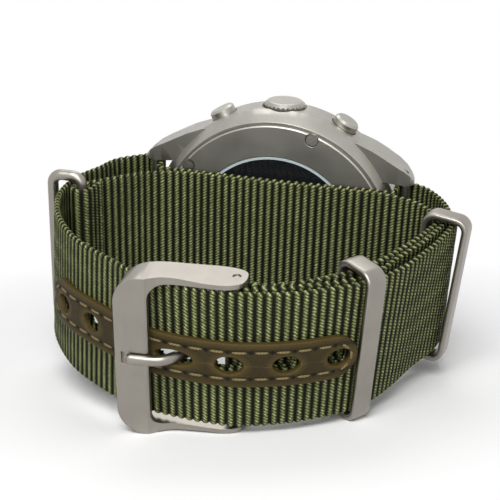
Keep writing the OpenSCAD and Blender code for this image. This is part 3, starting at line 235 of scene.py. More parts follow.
# How far the second and third layers stand off, by the length past the hinge
SECOND_SLACK = [(0, 0.5), (10, 0.9), (15, 0.6), (19.5, 0.3), (22, 0.5), (28, 1.25), (38, 0.7),
                (44, 0.3), (50, 0)]
THIRD_SLACK = [(0, 0.5), (8, 0.9), (15, 1.4), (19.5, 1.6), (24, 1.5), (30, 1.3), (38, 0.75),
               (44, 0.35), (50, 0)]

# Where the layers start and end, and where the strap meets its fittings
HINGE_X, RETURN_L, UNDER_START = 4.2, 9, 9.4
TAIL_END_Y, SECOND_END_Y, THIRD_END_Y = -8, -11, -16.5
BEHIND_Y, EDGE_R = -0.45 - STRAP_T / 2, 1.2
RING_Y, RING_GAP, RING_HEADING = -14, 0.6, -132
LEAN_CENTRE = Vector((HINGE_X, -12))
BUCKLE_LEAN = 3
PRONG_HOLE_AT, PRONG_HOLE_L, PRONG_HOLE_W = 8.3, 5.4, 2.4
HOLE_STEP, HOLES_EACH_SIDE = 7.6, 3
KEEPER_W, KEEPER_T, KEEPER_HIGH, KEEPER_BEND_R = 3.2, 1.05, STRAP_W / 2 + 0.55, 1.6
NEAR_KEEPER_X, FAR_KEEPER_Y = 20.6, -12.6
LEATHER_LIFT, LEATHER_END_GAP, LEATHER_START_L = 0.02, 0.3, 4.6

# First and last of the tail's points that lie on the front, where X grows along the strap
FIRST_FRONT, LAST_FRONT = 8, 88

# How full the ribs are, the yarns' slant in turns over a rib, and the thread's plies in a mm
RIB_FULLNESS, YARN_SLANT, PLIES_PER_MM = 0.6, 0.8, 2.2


def second_depth(u):
    return PITCH + lookup(u, SECOND_SLACK)


def third_depth(u):
    return 2 * PITCH + lookup(u, THIRD_SLACK)


def direction(points, i):
    return (points[min(i + 1, len(points) - 1)] - points[max(i - 1, 0)]).normalized()


class StrapPlan:
    """Routes of the strap's layers, as the frame's solids follow them."""

    def __init__(self):
        face = smooth(FACE_POINTS, 4)
        line = [p + STRAP_T / 2 * left_of(direction(face, i)) for i, p in enumerate(face)]
        self.tail = Line(line)
        self.xs = [(s, p.x) for s, p in zip(self.tail.lengths, line)]
        self.ys = [(s, p.y) for s, p in zip(self.tail.lengths, line)]
        self.by_x = [(line[i].x, self.tail.lengths[i]) for i in range(FIRST_FRONT, LAST_FRONT + 1)]
        self.by_y = [(line[i].y, self.tail.lengths[i]) for i in range(LAST_FRONT, len(line))]
        self.s_hinge = lookup(HINGE_X, self.by_x)
        self.s_tail_end = lookup(TAIL_END_Y, self.by_y)
        self.s_second_end = lookup(SECOND_END_Y, self.by_y)
        self.s_third_end = lookup(THIRD_END_Y, self.by_y)
        self.s_keeper_near = lookup(NEAR_KEEPER_X, self.by_x)
        self.s_keeper_far = lookup(FAR_KEEPER_Y, self.by_y)
        self.s_prong = self.s_hinge - PRONG_HOLE_AT
        self.s_leather_end = self.s_keeper_near - KEEPER_W / 2 - LEATHER_END_GAP
        self.s_leather_start = self.s_prong - HOLES_EACH_SIDE * HOLE_STEP - LEATHER_START_L
        self.holes = [self.s_prong + k * HOLE_STEP
                      for k in range(-HOLES_EACH_SIDE, HOLES_EACH_SIDE + 1) if k]
        self.hinge_depth = second_depth(0) + PIN_LOOP
        self.hinge_at = self.layer(self.s_hinge, self.hinge_depth)
        self.main = self.main_path()
        self.under = self.under_path()

    def tail_at(self, s):
        return Vector((lookup(s, self.xs), lookup(s, self.ys)))

    def tail_way(self, s):
        return (self.tail_at(s + 1) - self.tail_at(s - 1)).normalized()

    def layer(self, s, depth):
        return self.tail_at(s) + depth * left_of(self.tail_way(s))

    def main_path(self):
        """Middle line of the main strap, from its fold at the buckle to the end of its tail."""
        bar_loop = BAR_R + WRAP_GAP + STRAP_T / 2
        inner_leg = self.hinge_depth + PIN_LOOP
        rise = [(0, inner_leg - third_depth(0)), (1.5, 0.85), (3, 0.35), (4.5, 0)]
        fold = [self.layer(self.s_hinge + u, third_depth(u) + lookup(u, rise)) for u in
                reversed(stations(STEP, RETURN_L, STEP))]
        side = left_of(self.tail_way(self.s_hinge))
        turn = math.degrees(math.atan2(side.y, side.x))
        loop = arc(self.hinge_at, PIN_LOOP, turn, turn + 180, 8)
        second = [self.layer(s, second_depth(s - self.s_hinge))
                  for s in stations(self.s_hinge + STEP, self.s_second_end, STEP)]
        edge = Vector((BAR_X - bar_loop - EDGE_R, BEHIND_Y + EDGE_R))
        bar = Vector((BAR_X, BAR_Y))
        right = smooth([
            second[-2], second[-1], (RIGHT - 1.6, -7.5), (RIGHT - 2.4, -3.6),
            ((RIGHT + BAR_X) / 2 + 0.9, -0.4), (BAR_X + 3.7, 2.3), (BAR_X + 2, BAR_Y + 0.87),
            (BAR_X + 0.34, BAR_Y + 0.96 * bar_loop)], 3, 2)
        behind = smooth([
            (edge.x - 2, BEHIND_Y), (8, BEHIND_Y - 0.35), (0, BEHIND_Y - 0.55), (-8, BEHIND_Y - 0.35),
            (2 - edge.x, BEHIND_Y)], 4)
        other = Vector((-BAR_X, BAR_Y))
        left_points = [
            other + polar(bar_loop, 50), other + polar(bar_loop, 70), (-BAR_X - 1.7, BAR_Y + 2.15),
            (-BAR_X - 3.2, BAR_Y + 1.15), (LEFT + 4.5, 0.6), self.tail_at(0), self.tail_at(STEP)]
        left = [p for p in smooth(left_points, 3, 1)[1:] if p.y > self.tail_at(0).y + 0.2]
        return Line(fold + loop + second + right + arc(bar, bar_loop, 90, 180, 6)
                    + arc(edge, EDGE_R, 0, -90, 5) + behind
                    + arc((-edge.x, edge.y), EDGE_R, -90, -180, 5) + arc(other, bar_loop, 0, 70, 5)
                    + left + [self.tail_at(s) for s in stations(0, self.s_tail_end, STEP)])

    def under_path(self):
        """Middle line of the under-strap, from behind the buckle to its fold round the end ring."""
        ring_loop = RING_WIRE / 2 + WRAP_GAP + STRAP_T / 2
        heading = RING_HEADING
        ring = Vector((LEFT + STRAP_T + RING_GAP + STRAP_T + WRAP_GAP + RING_WIRE / 2, RING_Y))
        meet = ring + polar(ring_loop, heading - 90)
        lie = PITCH + 0.02
        third = [self.layer(s, third_depth(s - self.s_hinge))
                 for s in stations(self.s_hinge + UNDER_START, self.s_third_end, STEP)]
        right = smooth([
            third[-2], third[-1], (RIGHT - 3.2, -11), (RIGHT - 4.8, -7), (RIGHT - 7, -4.6),
            (21.5, -3.1), (17, BEHIND_Y - PITCH - 0.15)], 3, 1)
        behind = smooth([
            (17, BEHIND_Y - PITCH - 0.15), (8, BEHIND_Y - PITCH - 0.4), (0, BEHIND_Y - PITCH - 0.6),
            (-8, BEHIND_Y - PITCH - 0.4), (-14, BEHIND_Y - PITCH - 0.25), (-20.6, -3.8), (-23.4, -5.8),
            meet - polar(4.2, heading), meet - polar(2, heading), meet], 3)
        side = left_of(polar(1, heading))
        fold = [meet - polar(2.9, heading) + (lie + 0.25) * side,
                meet - polar(3.8, heading) + (lie + 0.05) * side]
        loop = arc(ring, ring_loop, heading - 68, heading + 122, 10)
        under = Line(third[:-1] + right + behind[1:] + loop + fold)
        under.upright = True
        return under


def lean_at(p):
    return math.radians(lookup(p.x, LEAN_BY_X) * lookup(p.y, LEAN_BY_Y))


def section_axes(line, s, reach=0.5):
    """Middle, way across and way through the band at a length along it, the last towards the wrist."""
    p = line.at(s)
    way = line.way(s, reach)
    lean = max(0.0, lean_at(p)) if line.upright else lean_at(p)
    out = (p - LEAN_CENTRE).normalized() * math.tan(lean)
    across = Vector((out.x, out.y, 1)).normalized()
    return Vector((p.x, p.y, 0)), across, across.cross(Vector((way.x, way.y, 0))).normalized()


# Meshes

def add_object(name, data):
    obj = bpy.data.objects.new(name, data)
    bpy.context.scene.collection.objects.link(obj)
    return obj


def make_mesh(name, points, faces):
    mesh = bpy.data.meshes.new(name)
    mesh.from_pydata([tuple(p) for p in points], [], faces)
    mesh.validate()
    mesh.shade_smooth()
    return add_object(name, mesh)


def lay_out(obj, rows):
    """Stores three numbers for each point, which the materials read: along, across, and from an edge."""
    layer = obj.data.attributes.new("lay", "FLOAT_VECTOR", "POINT")
    layer.data.foreach_set("vector", [v for row in rows for v in row])


def tube_faces(rings, sides, closed=False):
    """Faces of a tube of rings, joined end to end where it is closed and capped where it isn't."""
    faces = []
    for i in range(rings if closed else rings - 1):
        for j in range(sides):
            a, b = i * sides, (i + 1) % rings * sides
            faces.append((a + j, a + (j + 1) % sides, b + (j + 1) % sides, b + j))
    if not closed:
        faces.append(tuple(reversed(range(sides))))
        faces.append(tuple((rings - 1) * sides + j for j in range(sides)))
    return faces


def rounded_loop(half_a, half_b, squareness, count):
    """Points of an ellipse, for a squareness of 2, or of a rounded rectangle above that."""
    loop = []
    for k in range(count):
        c, s = polar(1, 360 * k / count)
        loop.append((half_a * math.copysign(abs(c) ** (2 / squareness), c),
                     half_b * math.copysign(abs(s) ** (2 / squareness), s)))
    return loop


def fit(obj, body, slot, material, *nodes):
    """Gives a piece its body and its material, and hides the solids that it stands for; the slot is not used."""
    obj.data.materials.clear()
    obj.data.materials.append(material)
    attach(obj, body)
    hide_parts(*nodes)
    return obj


# Materials

def tinted(colour, factor):
    return tuple(min(1.0, c * factor) for c in colour)


class Wire:
    """An output socket; arithmetic on it adds Math nodes."""

    def __init__(self, nodes, socket):
        self.nodes, self.socket = nodes, socket

    def to(self, operation, *values):
        return self.nodes.node("ShaderNodeMath", {"operation": operation}, [self, *values])

    def __add__(self, other):
        return self.to("ADD", other)

    def __radd__(self, other):
        return self.to("ADD", other)

    def __sub__(self, other):
        return self.to("SUBTRACT", other)

    def __mul__(self, other):
        return self.to("MULTIPLY", other)

    def __truediv__(self, other):
        return self.to("DIVIDE", other)

    def __pow__(self, other):
        return self.to("POWER", other)


class Nodes:
    """A node tree whose nodes are written as expressions."""

    def __init__(self, tree):
        self.tree = tree

    def node(self, kind, settings=None, inputs=(), out=0):
        """Adds a node: settings first, then its sockets' values or links, by place or by name."""
        made = self.tree.nodes.new(kind)
        for key, value in (settings or {}).items():
            setattr(made, key, value)
        pairs = inputs.items() if isinstance(inputs, dict) else enumerate(inputs)
        for key, value in pairs:
            self.connect(made.inputs[key], value)
        return Wire(self, made.outputs[out])

    def connect(self, socket, value):
        if isinstance(value, Wire):
            self.tree.links.new(value.socket, socket)
        else:
            socket.default_value = (*value, 1) if socket.type == "RGBA" and len(value) == 3 else value

    def mix(self, factor, low, high):
        return self.node("ShaderNodeMix", {"data_type": "RGBA"}, {0: factor, 6: low, 7: high}, 2)

    def tones(self, factor, colour, low, high):
        return self.mix(factor, tinted(colour, low), tinted(colour, high))

    def span(self, value, low, high, to_low=0.0, to_high=1.0):
        return self.node("ShaderNodeMapRange", {"clamp": True}, [value, low, high, to_low, to_high])

    def seen(self):
        """1 on rays from the camera, also by way of a mirror or a glass, and 0 on light's own rays."""
        camera, mirror, glass = [self.node("ShaderNodeLightPath", out=name) for name in
                                 ("Is Camera Ray", "Is Glossy Ray", "Is Transmission Ray")]
        return camera.to("MAXIMUM", mirror).to("MAXIMUM", glass)


class Paint(Nodes):
    """A material, with its grains placed by the piece's own coordinates."""

    def __init__(self, name):
        self.material = bpy.data.materials.new(name)
        self.material.use_nodes = True
        super().__init__(self.material.node_tree)
        self.shader = self.tree.nodes["Principled BSDF"]
        self.place = self.node("ShaderNodeTexCoord", out="Object")

    def stored(self):
        """The three numbers that a mesh stores at its points."""
        lay = self.node("ShaderNodeAttribute", {"attribute_name": "lay"}, out="Vector")
        return [self.node("ShaderNodeSeparateXYZ", None, [lay], k) for k in range(3)]

    def noise(self, size, detail=2.0, rough=0.5):
        """Noise whose grains are about size mm across."""
        return self.node("ShaderNodeTexNoise", None, {
            "Vector": self.place, "Scale": 1 / (size * MM), "Detail": detail, "Roughness": rough})

    def cells(self, size, feature="F1"):
        """Cells about size mm across."""
        return self.node("ShaderNodeTexVoronoi", {"feature": feature}, {
            "Vector": self.place, "Scale": 1 / (size * MM)})

    def bump(self, height, depth):
        """Relief whose height of 1 stands depth mm proud."""
        self.connect(self.shader.inputs["Normal"], self.node(
            "ShaderNodeBump", None, {"Strength": 1.0, "Distance": depth * MM, "Height": height}))

    def finish(self, **sockets):
        """Connects the shader's sockets, named in small letters with low lines for spaces."""
        for key, value in sockets.items():
            self.connect(self.shader.inputs[key.replace("_", " ").title().replace("Ior", "IOR")], value)
        return self.material


def blasted_steel(name, colour, rough):
    """Bead-blasted steel: fine pits, faint clouding and slightly polished patches."""
    p = Paint(name)
    pits = p.noise(0.11, 3.0, 0.6)
    cloud = p.noise(4.0, 3.0)
    handled = p.span(p.noise(9.0, 4.0), 0.5, 0.75)
    base = p.tones(p.span(cloud, 0.3, 0.7), colour, 0.93, 1.05)
    p.bump(pits, 0.006)
    return p.finish(base_color=p.mix(pits * 0.35, base, tinted(colour, 0.72)), metallic=1.0,
                    roughness=rough + pits * 0.1 - handled * 0.06)


def turned_steel(name, colour, grain):
    """Turned steel: fine circular cuts, about a third of grain mm apart."""
    p = Paint(name)
    cuts = p.node("ShaderNodeTexWave", {"wave_type": "RINGS"},
                  {"Vector": p.place, "Scale": 1 / (grain * MM), "Distortion": 1.5, "Detail": 2.0})
    cloud = p.noise(1.5, 3.0)
    p.bump(cuts, 0.004)
    return p.finish(base_color=p.tones(cloud, colour, 0.8, 1.1), metallic=1.0,
                    roughness=0.26 + cuts * 0.1)


def grained_plate(name, colour):
    """Nickelled movement metal with straight graining and round spots."""
    p = Paint(name)
    stripes = p.node("ShaderNodeTexWave", {"wave_type": "BANDS", "bands_direction": "X"},
                     {"Vector": p.place, "Scale": 300.0, "Distortion": 0.6, "Detail": 2.0})
    spots = p.cells(1.1)
    p.bump(stripes * 0.7 + spots * 0.5, 0.01)
    return p.finish(base_color=p.tones(stripes, colour, 0.75, 1.05), metallic=1.0,
                    roughness=0.3 + spots * 0.2)


def gilt(name, colour):
    """Gilt brass: fine grain and a slow change of tone."""
    p = Paint(name)
    grain = p.noise(0.15)
    tone = p.noise(2.0)
    p.bump(grain, 0.003)
    return p.finish(base_color=p.tones(tone, colour, 0.7, 1.1), metallic=1.0,
                    roughness=0.24 + grain * 0.15)


def blued(name):
    """Spring steel blued by heat."""
    p = Paint(name)
    heat = p.noise(1.2)
    return p.finish(base_color=p.mix(heat, shade_of("1D2C66"), shade_of("3B56A8")), metallic=1.0,
                    roughness=0.2 + heat * 0.15)


def rubber(name, code, rough):
    """Moulded rubber or plastic with a fine grain."""
    p = Paint(name)
    grain = p.noise(0.2, 3.0)
    p.bump(grain, 0.01)
    return p.finish(base_color=p.tones(grain, shade_of(code), 0.8, 1.2),
                    roughness=rough + grain * 0.1)


def clear_glass(name, tint, cover):
    """Coated sapphire: a thin tint that lets the parts behind show, with faint wiping marks."""
    p = Paint(name)
    wiped = p.noise(6.0, 3.0)
    p.material.surface_render_method = "BLENDED"
    return p.finish(base_color=p.tones(wiped, tint, 0.8, 1), roughness=0.03 + wiped * 0.05,
                    alpha=cover + wiped * 0.05, ior=1.76)


def paint_coat(name, code, rough):
    """A thin coat of lacquer or paint with a fine speck."""
    p = Paint(name)
    speck = p.noise(0.12, 3.0)
    tone = p.noise(3.0)
    p.bump(speck, 0.004)
    return p.finish(base_color=p.tones(tone, shade_of(code), 0.85, 1.1),
                    roughness=rough + speck * 0.15)


def woven(name, s):
    """Ribbed nylon: pale ribs of twisted yarn, with painted shade in the valleys between them, and pale threads on
    the crests that are partly a painted highlight.
    """
    p = Paint(name)
    along, across, _ = p.stored()
    turn = along / s.rib_pitch
    rib = (turn * (2 * math.pi)).to("COSINE") * -0.5 + 0.5
    wander = p.noise(0.9)
    slant = (turn + 0.5).to("FRACT") * YARN_SLANT
    twist = (across / s.yarn_pitch + slant + wander * 0.9) * (2 * math.pi)
    yarn = twist.to("SINE") * 0.5 + 0.5
    fibre = p.noise(0.12, 3.0, 0.7)
    fuzz = p.noise(0.35)
    height = rib ** RIB_FULLNESS * (yarn * 0.45 + 0.55)
    # The colour runs from the painted shade of the valleys up to the ridge colour with the rib's height
    tone = p.span(height + (fibre - 0.5) * 0.6, 0.3, 0.98)
    worn = p.span(p.noise(7.0, 3.0), 0.35, 0.7)
    base = p.mix(tone, s.valley_shade, p.tones(worn, s.ridge, 0.82, 1.1))
    # Pale threads on the crests of the ribs and yarns: partly pale fibres, partly a painted highlight
    pale = p.span(fuzz * yarn * rib, 0.3, 0.62)
    colour = p.mix(pale * 0.8, base, s.fleck_and_highlight)
    p.bump(height * 0.8 + fibre * 0.3, 0.12)
    return p.finish(base_color=colour, roughness=0.62 + fibre * 0.2 - pale * 0.12,
                    specular_ior_level=0.12)


def hide(name, s):
    """Waxed leather: mottled olive brown, pores, rubbed edges, and needle holes and a stitch groove with painted
    shade in them.
    """
    p = Paint(name)
    along, across, edge = p.stored()
    mottle = p.noise(2.2, 4.0, 0.6)
    creases = p.cells(0.6, "DISTANCE_TO_EDGE")
    pores = p.noise(0.18, 3.0)
    base = p.tones(p.span(mottle, 0.3, 0.7), s.body, 0.75, 1)
    rubbed = p.span(edge + (mottle - 0.5) * 0.9, 0.9, 0.1)
    base = p.mix(rubbed * 0.75, base, s.worn)
    row = s.width / 2 - s.stitch_inset
    gap = ((along / s.stitch_step).to("FRACT") - 0.5) * s.stitch_step
    off = across.to("ABSOLUTE") - row
    needle = p.span((gap * gap + off * off).to("SQRT"), 0.42, 0.16)
    groove = p.span(off.to("ABSOLUTE"), 0.5, 0.1)
    # Painted shade: near black in the needle holes between the stitches, and darker in the groove that the
    # stitches press
    colour = p.mix(needle * 0.92, p.mix(groove * 0.35, base, tinted(s.body, 0.4)), shade_of("0C0A06"))
    p.bump(p.span(creases, 0.0, 0.12) * 0.5 + pores * 0.5 - needle * 2 - groove, 0.06)
    return p.finish(base_color=colour, roughness=0.58 + pores * 0.2 - rubbed * 0.1 + needle * 0.2,
                    specular_ior_level=0.2)


def twine(name, s):
    """Waxed thread of twisted plies; its mesh stores the turn round the thread as the third number."""
    p = Paint(name)
    along, _, round_it = p.stored()
    ply = ((along * PLIES_PER_MM + round_it) * (2 * math.pi)).to("SINE") * 0.5 + 0.5
    fibre = p.noise(0.08)
    p.bump(ply + fibre * 0.4, 0.04)
    # The thread is painted darker in the grooves between its plies: painted shade
    return p.finish(base_color=p.tones(ply * 0.7 + fibre * 0.3, s.thread, 0.45, 1),
                    roughness=0.6 + fibre * 0.2)


def dress(slot, material):
    """Gives a material to every CAD node of a slot."""
    for part in frame["record"]["subparts"]:
        if part["material_slot"] == slot:
            node = frame["nodes"][part["node"]]
            node.data.materials.clear()
            node.data.materials.append(material)


# Webbing

EDGE_STEPS, FACE_STEPS, RIB_STEPS = 6, 46, 6
FLAT_HALF = STRAP_W / 2 - STRAP_T / 2

# Half length and half width of the webbing's own openings, under the leather's
HOLE_CUT, PRONG_CUT = (1.7, 1.25), (2.5, 1.15)

# Width of the beaded edge, how much deeper its valleys are, and how far they draw in
BEAD_W, BEAD_SINK, BEAD_DRAW = 1.0, 0.6, 1.3

# Length over which a cut end thins out, and the share of its thickness that it keeps
END_L, END_SHARE = 0.5, 0.35


def section_points():
    """Places round the band's section: mm across, and how far out on one face or the other."""
    half_turn = [math.pi * k / EDGE_STEPS for k in range(1, EDGE_STEPS)]
    points = [(FLAT_HALF * (2 * k / FACE_STEPS - 1), 1.0) for k in range(FACE_STEPS + 1)]
    points += [(FLAT_HALF + STRAP_T / 2 * math.sin(a), math.cos(a)) for a in half_turn]
    points += [(FLAT_HALF * (1 - 2 * k / FACE_STEPS), -1.0) for k in range(FACE_STEPS + 1)]
    points += [(-FLAT_HALF - STRAP_T / 2 * math.sin(a), -math.cos(a)) for a in half_turn]
    return points


def ribbed_points(line, w, section, count):
    """Points of the band, and for each the length along it, the place across it and how far an edge."""
    points, rows = [], []
    for i in range(count + 1):
        s = line.length * i / count
        middle, across, through = section_axes(line, s)
        turn = s / w.rib_pitch - math.floor(s / w.rib_pitch)
        rib = max(0.0, 1 - (2 * turn - 1) ** 2) ** RIB_FULLNESS
        end = min(1.0, min(s, line.length - s) / END_L + END_SHARE)
        for at, side in section:
            edge = min(1.0, max(0.0, (abs(at) - FLAT_HALF + BEAD_W) / BEAD_W))
            yarn = 0.5 - 0.5 * math.sin(2 * math.pi * (at / w.yarn_pitch + YARN_SLANT * turn))
            sink = w.rib_depth * (1 + BEAD_SINK * edge) * (1 - rib) + w.yarn_depth * rib * yarn
            thick = (STRAP_T / 2 - sink) * end
            out = at - math.copysign(sink * BEAD_DRAW * edge, at)
            points.append(stand(*(middle + across * out + through * side * thick)))
            rows.append((s, at, edge))
    return points, rows


def webbing(name, line, w, cuts, material, node):
    """A ribbed band along a line, with its yarns and its beaded edges, open at the oval cuts."""
    count = int(line.length / (w.rib_pitch / RIB_STEPS))
    section = section_points()
    sides = len(section)
    points, rows = ribbed_points(line, w, section, count)
    middles = [(at + after) / 2 for (at, _), (after, _) in zip(section, section[1:] + section[:1])]

    def cut_out(face):
        ring, side = divmod(face[0], sides)
        s = line.length * (ring + 0.5) / count
        return len(face) == 4 and any(
            math.hypot((s - cut_s) / half_l, (middles[side] - cut_at) / half_w) < 1
            for cut_s, cut_at, half_l, half_w in cuts)

    obj = make_mesh(name, points, [f for f in tube_faces(count + 1, sides) if not cut_out(f)])
    lay_out(obj, rows)
    return fit(obj, "watch", "webbing", material, node)


# Leather strip

# How far the strip's middle line runs below the strap's, along the tail
LEATHER_MID = [(0, -1.3), (12, -0.6), (38, 0.1)]

# Rounding of its edges, swell of its middle, and the groove that the stitches press
LEATHER_ROUND, LEATHER_SWELL, GROOVE_DEPTH, GROOVE_HALF = 0.2, 0.08, 0.1, 0.4

# Places of the mesh's long cuts, by the middle and beside each row of stitches; its cross cuts' step
# and their distance from the strip's end
MIDDLE_CUTS, ROW_CUTS = (0, 1.4, -1.4), (-0.45, -0.2, 0, 0.2, 0.45)
CROSS_CUT_STEP, CROSS_CUT_END = 0.5, 0.3

# Points round a hole
OVAL_STEPS = 28


def leather_outline(plan, s):
    """Flat outline of the strip: along the tail, and across from its own middle line."""
    r = s.width / 2
    start, end = plan.s_leather_start, plan.s_leather_end
    right = [Vector((end - r, 0)) + polar(r, a) for a in range(-90, 91, 12)]
    return right + [(start + end - x, -y) for x, y in right]


def oval(at, half_l, half_w):
    """Outline of a hole."""
    turns = [2 * math.pi * k / OVAL_STEPS for k in range(OVAL_STEPS)]
    return [(at + half_l * math.cos(a), half_w * math.sin(a)) for a in turns]


def cut_sheet(bm, at, way):
    """Adds edges where a plane meets the sheet, so that it can bend there."""
    bmesh.ops.bisect_plane(bm, geom=bm.verts[:] + bm.edges[:] + bm.faces[:], plane_co=at, plane_no=way)


def flat_leather(plan, s, holes):
    """The strip lying flat: with its holes, rounded edges and the cuts along which it bends."""
    bm = bmesh.new()
    for loop in [leather_outline(plan, s), *[oval(*hole) for hole in holes]]:
        ring = [bm.verts.new((x, y, 0)) for x, y in loop]
        for a, b in zip(ring, ring[1:] + ring[:1]):
            bm.edges.new((a, b))
    bmesh.ops.triangle_fill(bm, edges=bm.edges[:], use_beauty=True)
    bmesh.ops.recalc_face_normals(bm, faces=bm.faces[:])
    top = bmesh.ops.extrude_face_region(bm, geom=bm.faces[:])
    raised = [g for g in top["geom"] if isinstance(g, bmesh.types.BMVert)]
    bmesh.ops.translate(bm, verts=raised, vec=(0, 0, s.thickness))
    bmesh.ops.recalc_face_normals(bm, faces=bm.faces[:])
    rims = [e for e in bm.edges if e.is_manifold and e.calc_face_angle(0) > math.radians(60)]
    bmesh.ops.bevel(bm, geom=rims, offset=LEATHER_ROUND, segments=3, affect="EDGES", profile=0.5)
    row = s.width / 2 - s.stitch_inset
    for y in [*MIDDLE_CUTS, *[side * (row + d) for side in (-1, 1) for d in ROW_CUTS]]:
        cut_sheet(bm, (0, y, 0), (0, 1, 0))
    first, last = plan.s_leather_start + CROSS_CUT_STEP, plan.s_leather_end - CROSS_CUT_END
    for x in stations(first, last, CROSS_CUT_STEP):
        cut_sheet(bm, (x, 0, 0), (1, 0, 0))
    return bm


def leather_strip(plan, s, material):
    """The sewn strip, bent along the tail; its mesh stores the distance to the nearest edge."""
    holes = [(plan.s_prong, PRONG_HOLE_L / 2, PRONG_HOLE_W / 2),
             *[(h, s.hole_l / 2, s.hole_w / 2) for h in plan.holes]]
    bm = flat_leather(plan, s, holes)
    half, row, rows = s.width / 2, s.width / 2 - s.stitch_inset, []
    for v in bm.verts:
        along, across, up = v.co
        edge = min(half - abs(across), plan.s_leather_end - along, along - plan.s_leather_start)
        hole = min(abs(math.hypot((along - a) / l, across / w) - 1) * w for a, l, w in holes)
        rows.append((along, across, max(0.0, min(edge, hole))))
        if up > s.thickness / 2:
            up += LEATHER_SWELL * (1 - (across / half) ** 2)
            up -= GROOVE_DEPTH * max(0.0, 1 - abs(abs(across) - row) / GROOVE_HALF)
        middle, side, through = section_axes(plan.tail, along)
        out = STRAP_T / 2 + LEATHER_LIFT + up
        v.co = stand(*(middle + side * (across + lookup(along, LEATHER_MID)) - through * out))
    bmesh.ops.recalc_face_normals(bm, faces=bm.faces[:])
    mesh = bpy.data.meshes.new("leather_strip")
    bm.to_mesh(mesh)
    bm.free()
    mesh.shade_smooth()
    obj = add_object("leather_strip_sewn", mesh)
    lay_out(obj, rows)
    return fit(obj, "watch", "strap_leather", material, "leather_strip")


STITCH_SIDES, STITCH_RINGS, STITCH_R = 8, 9, 0.19

# The rows' distance from the strip's round ends; the stitches there: turns, length and how far out
SEAM_INSET, END_STITCH_TURNS, END_STITCH_L, END_STITCH_OUT = 0.9, (-50, 0, 50), 1.7, 0.35

# The crosses on the under-strap's fold: how many each way from the middle, their step across and
# their distance from the strap's end; then a stitch's length, radius, slant and place in its cross
CROSSES, CROSS_STEP, CROSS_FROM_END = 3, 2.9, 1.3
CROSS_L, CROSS_R, CROSS_TURN, CROSS_OFF = 1.9, 0.2, 32, 0.65


def add_stitch(points, faces, rows, place_at, length, r):
    """One stitch: a thread that dips into the cloth at both ends."""
    base = len(points)
    for i in range(STITCH_RINGS):
        t = 2 * i / (STITCH_RINGS - 1) - 1
        thick = r * (0.55 + 0.45 * (1 - t ** 4))
        dip = -2.2 * r * abs(t) ** 5
        for j in range(STITCH_SIDES):
            a = 2 * math.pi * j / STITCH_SIDES
            points.append(place_at(t * length / 2, thick * math.cos(a), dip + thick * 0.85 * math.sin(a)))
            rows.append((t * length / 2, 0.0, j / STITCH_SIDES))
    faces += [tuple(base + k for k in f) for f in tube_faces(STITCH_RINGS, STITCH_SIDES)]


def seam_places(plan, s):
    """Middles and headings of the stitches: two rows, and an arc round each end of the strip."""
    row = s.width / 2 - s.stitch_inset
    start, end = plan.s_leather_start + s.width / 2, plan.s_leather_end - s.width / 2
    first = math.ceil((start + SEAM_INSET) / s.stitch_step)
    last = int((end - SEAM_INSET) / s.stitch_step)
    places = [(i * s.stitch_step, side * row, 0.0) for i in range(first, last + 1) for side in (-1, 1)]
    for centre, way in ((start, -1), (end, 1)):
        for a in END_STITCH_TURNS:
            x, y = polar(1, a)
            places.append((centre + way * (row + END_STITCH_OUT) * x, row * y, math.radians(90 + way * a)))
    return places


def leather_stitches(plan, s, material):
    """The strip's two rows of stitches with their ends, and those of the under-strap's fold."""
    points, faces, rows = [], [], []
    height = STRAP_T / 2 + LEATHER_LIFT + s.thickness
    for at_s, at_across, heading in seam_places(plan, s):
        c, d = math.cos(heading), math.sin(heading)

        def place_at(along, across, up):
            at = at_s + along * c - across * d
            middle, ways, through = section_axes(plan.tail, at)
            over = at_across + along * d + across * c + lookup(at, LEATHER_MID)
            return stand(*(middle + ways * over - through * (height + up)))

        add_stitch(points, faces, rows, place_at, s.stitch_l if heading == 0 else END_STITCH_L, STITCH_R)
    add_fold_stitches(plan, points, faces, rows)
    obj = make_mesh("leather_stitches", points, faces)
    lay_out(obj, rows)
    return fit(obj, "watch", "thread", material, "strap_stitching")


def add_fold_stitches(plan, points, faces, rows):
    """Crossed stitches that hold the under-strap's fold round its ring."""
    at_s = plan.under.length - CROSS_FROM_END
    for k in range(-CROSSES, CROSSES + 1):
        for way in (-1, 1):
            turn = way * math.radians(CROSS_TURN)
            c, d = math.cos(turn), math.sin(turn)

            def place_at(along, across, up):
                middle, ways, through = section_axes(plan.under, at_s + along * d - across * c)
                over = CROSS_STEP * k + way * CROSS_OFF + along * c + across * d
                return stand(*(middle + ways * over + through * (STRAP_T / 2 + up)))

            add_stitch(points, faces, rows, place_at, CROSS_L, CROSS_R)


# Steel fittings: loops and bars of rounded section

# The keepers' strip: steps of each bend, points round its section, and how square that is
BEND_STEPS, STRIP_SIDES, STRIP_SQUARENESS = 8, 24, 5


def rounded_rect_path(half_w, low, high, r):
    """Closed outline, each point with its outward direction."""
    path = []
    for cx, cy, start in [(half_w - r, high - r, 0), (-half_w + r, high - r, 90),
                          (-half_w + r, low + r, 180), (half_w - r, low + r, 270)]:
        for k in range(BEND_STEPS + 1):
            n = polar(1, start + 90 * k / BEND_STEPS)
            path.append((Vector((cx, cy)) + r * n, n))
    return path


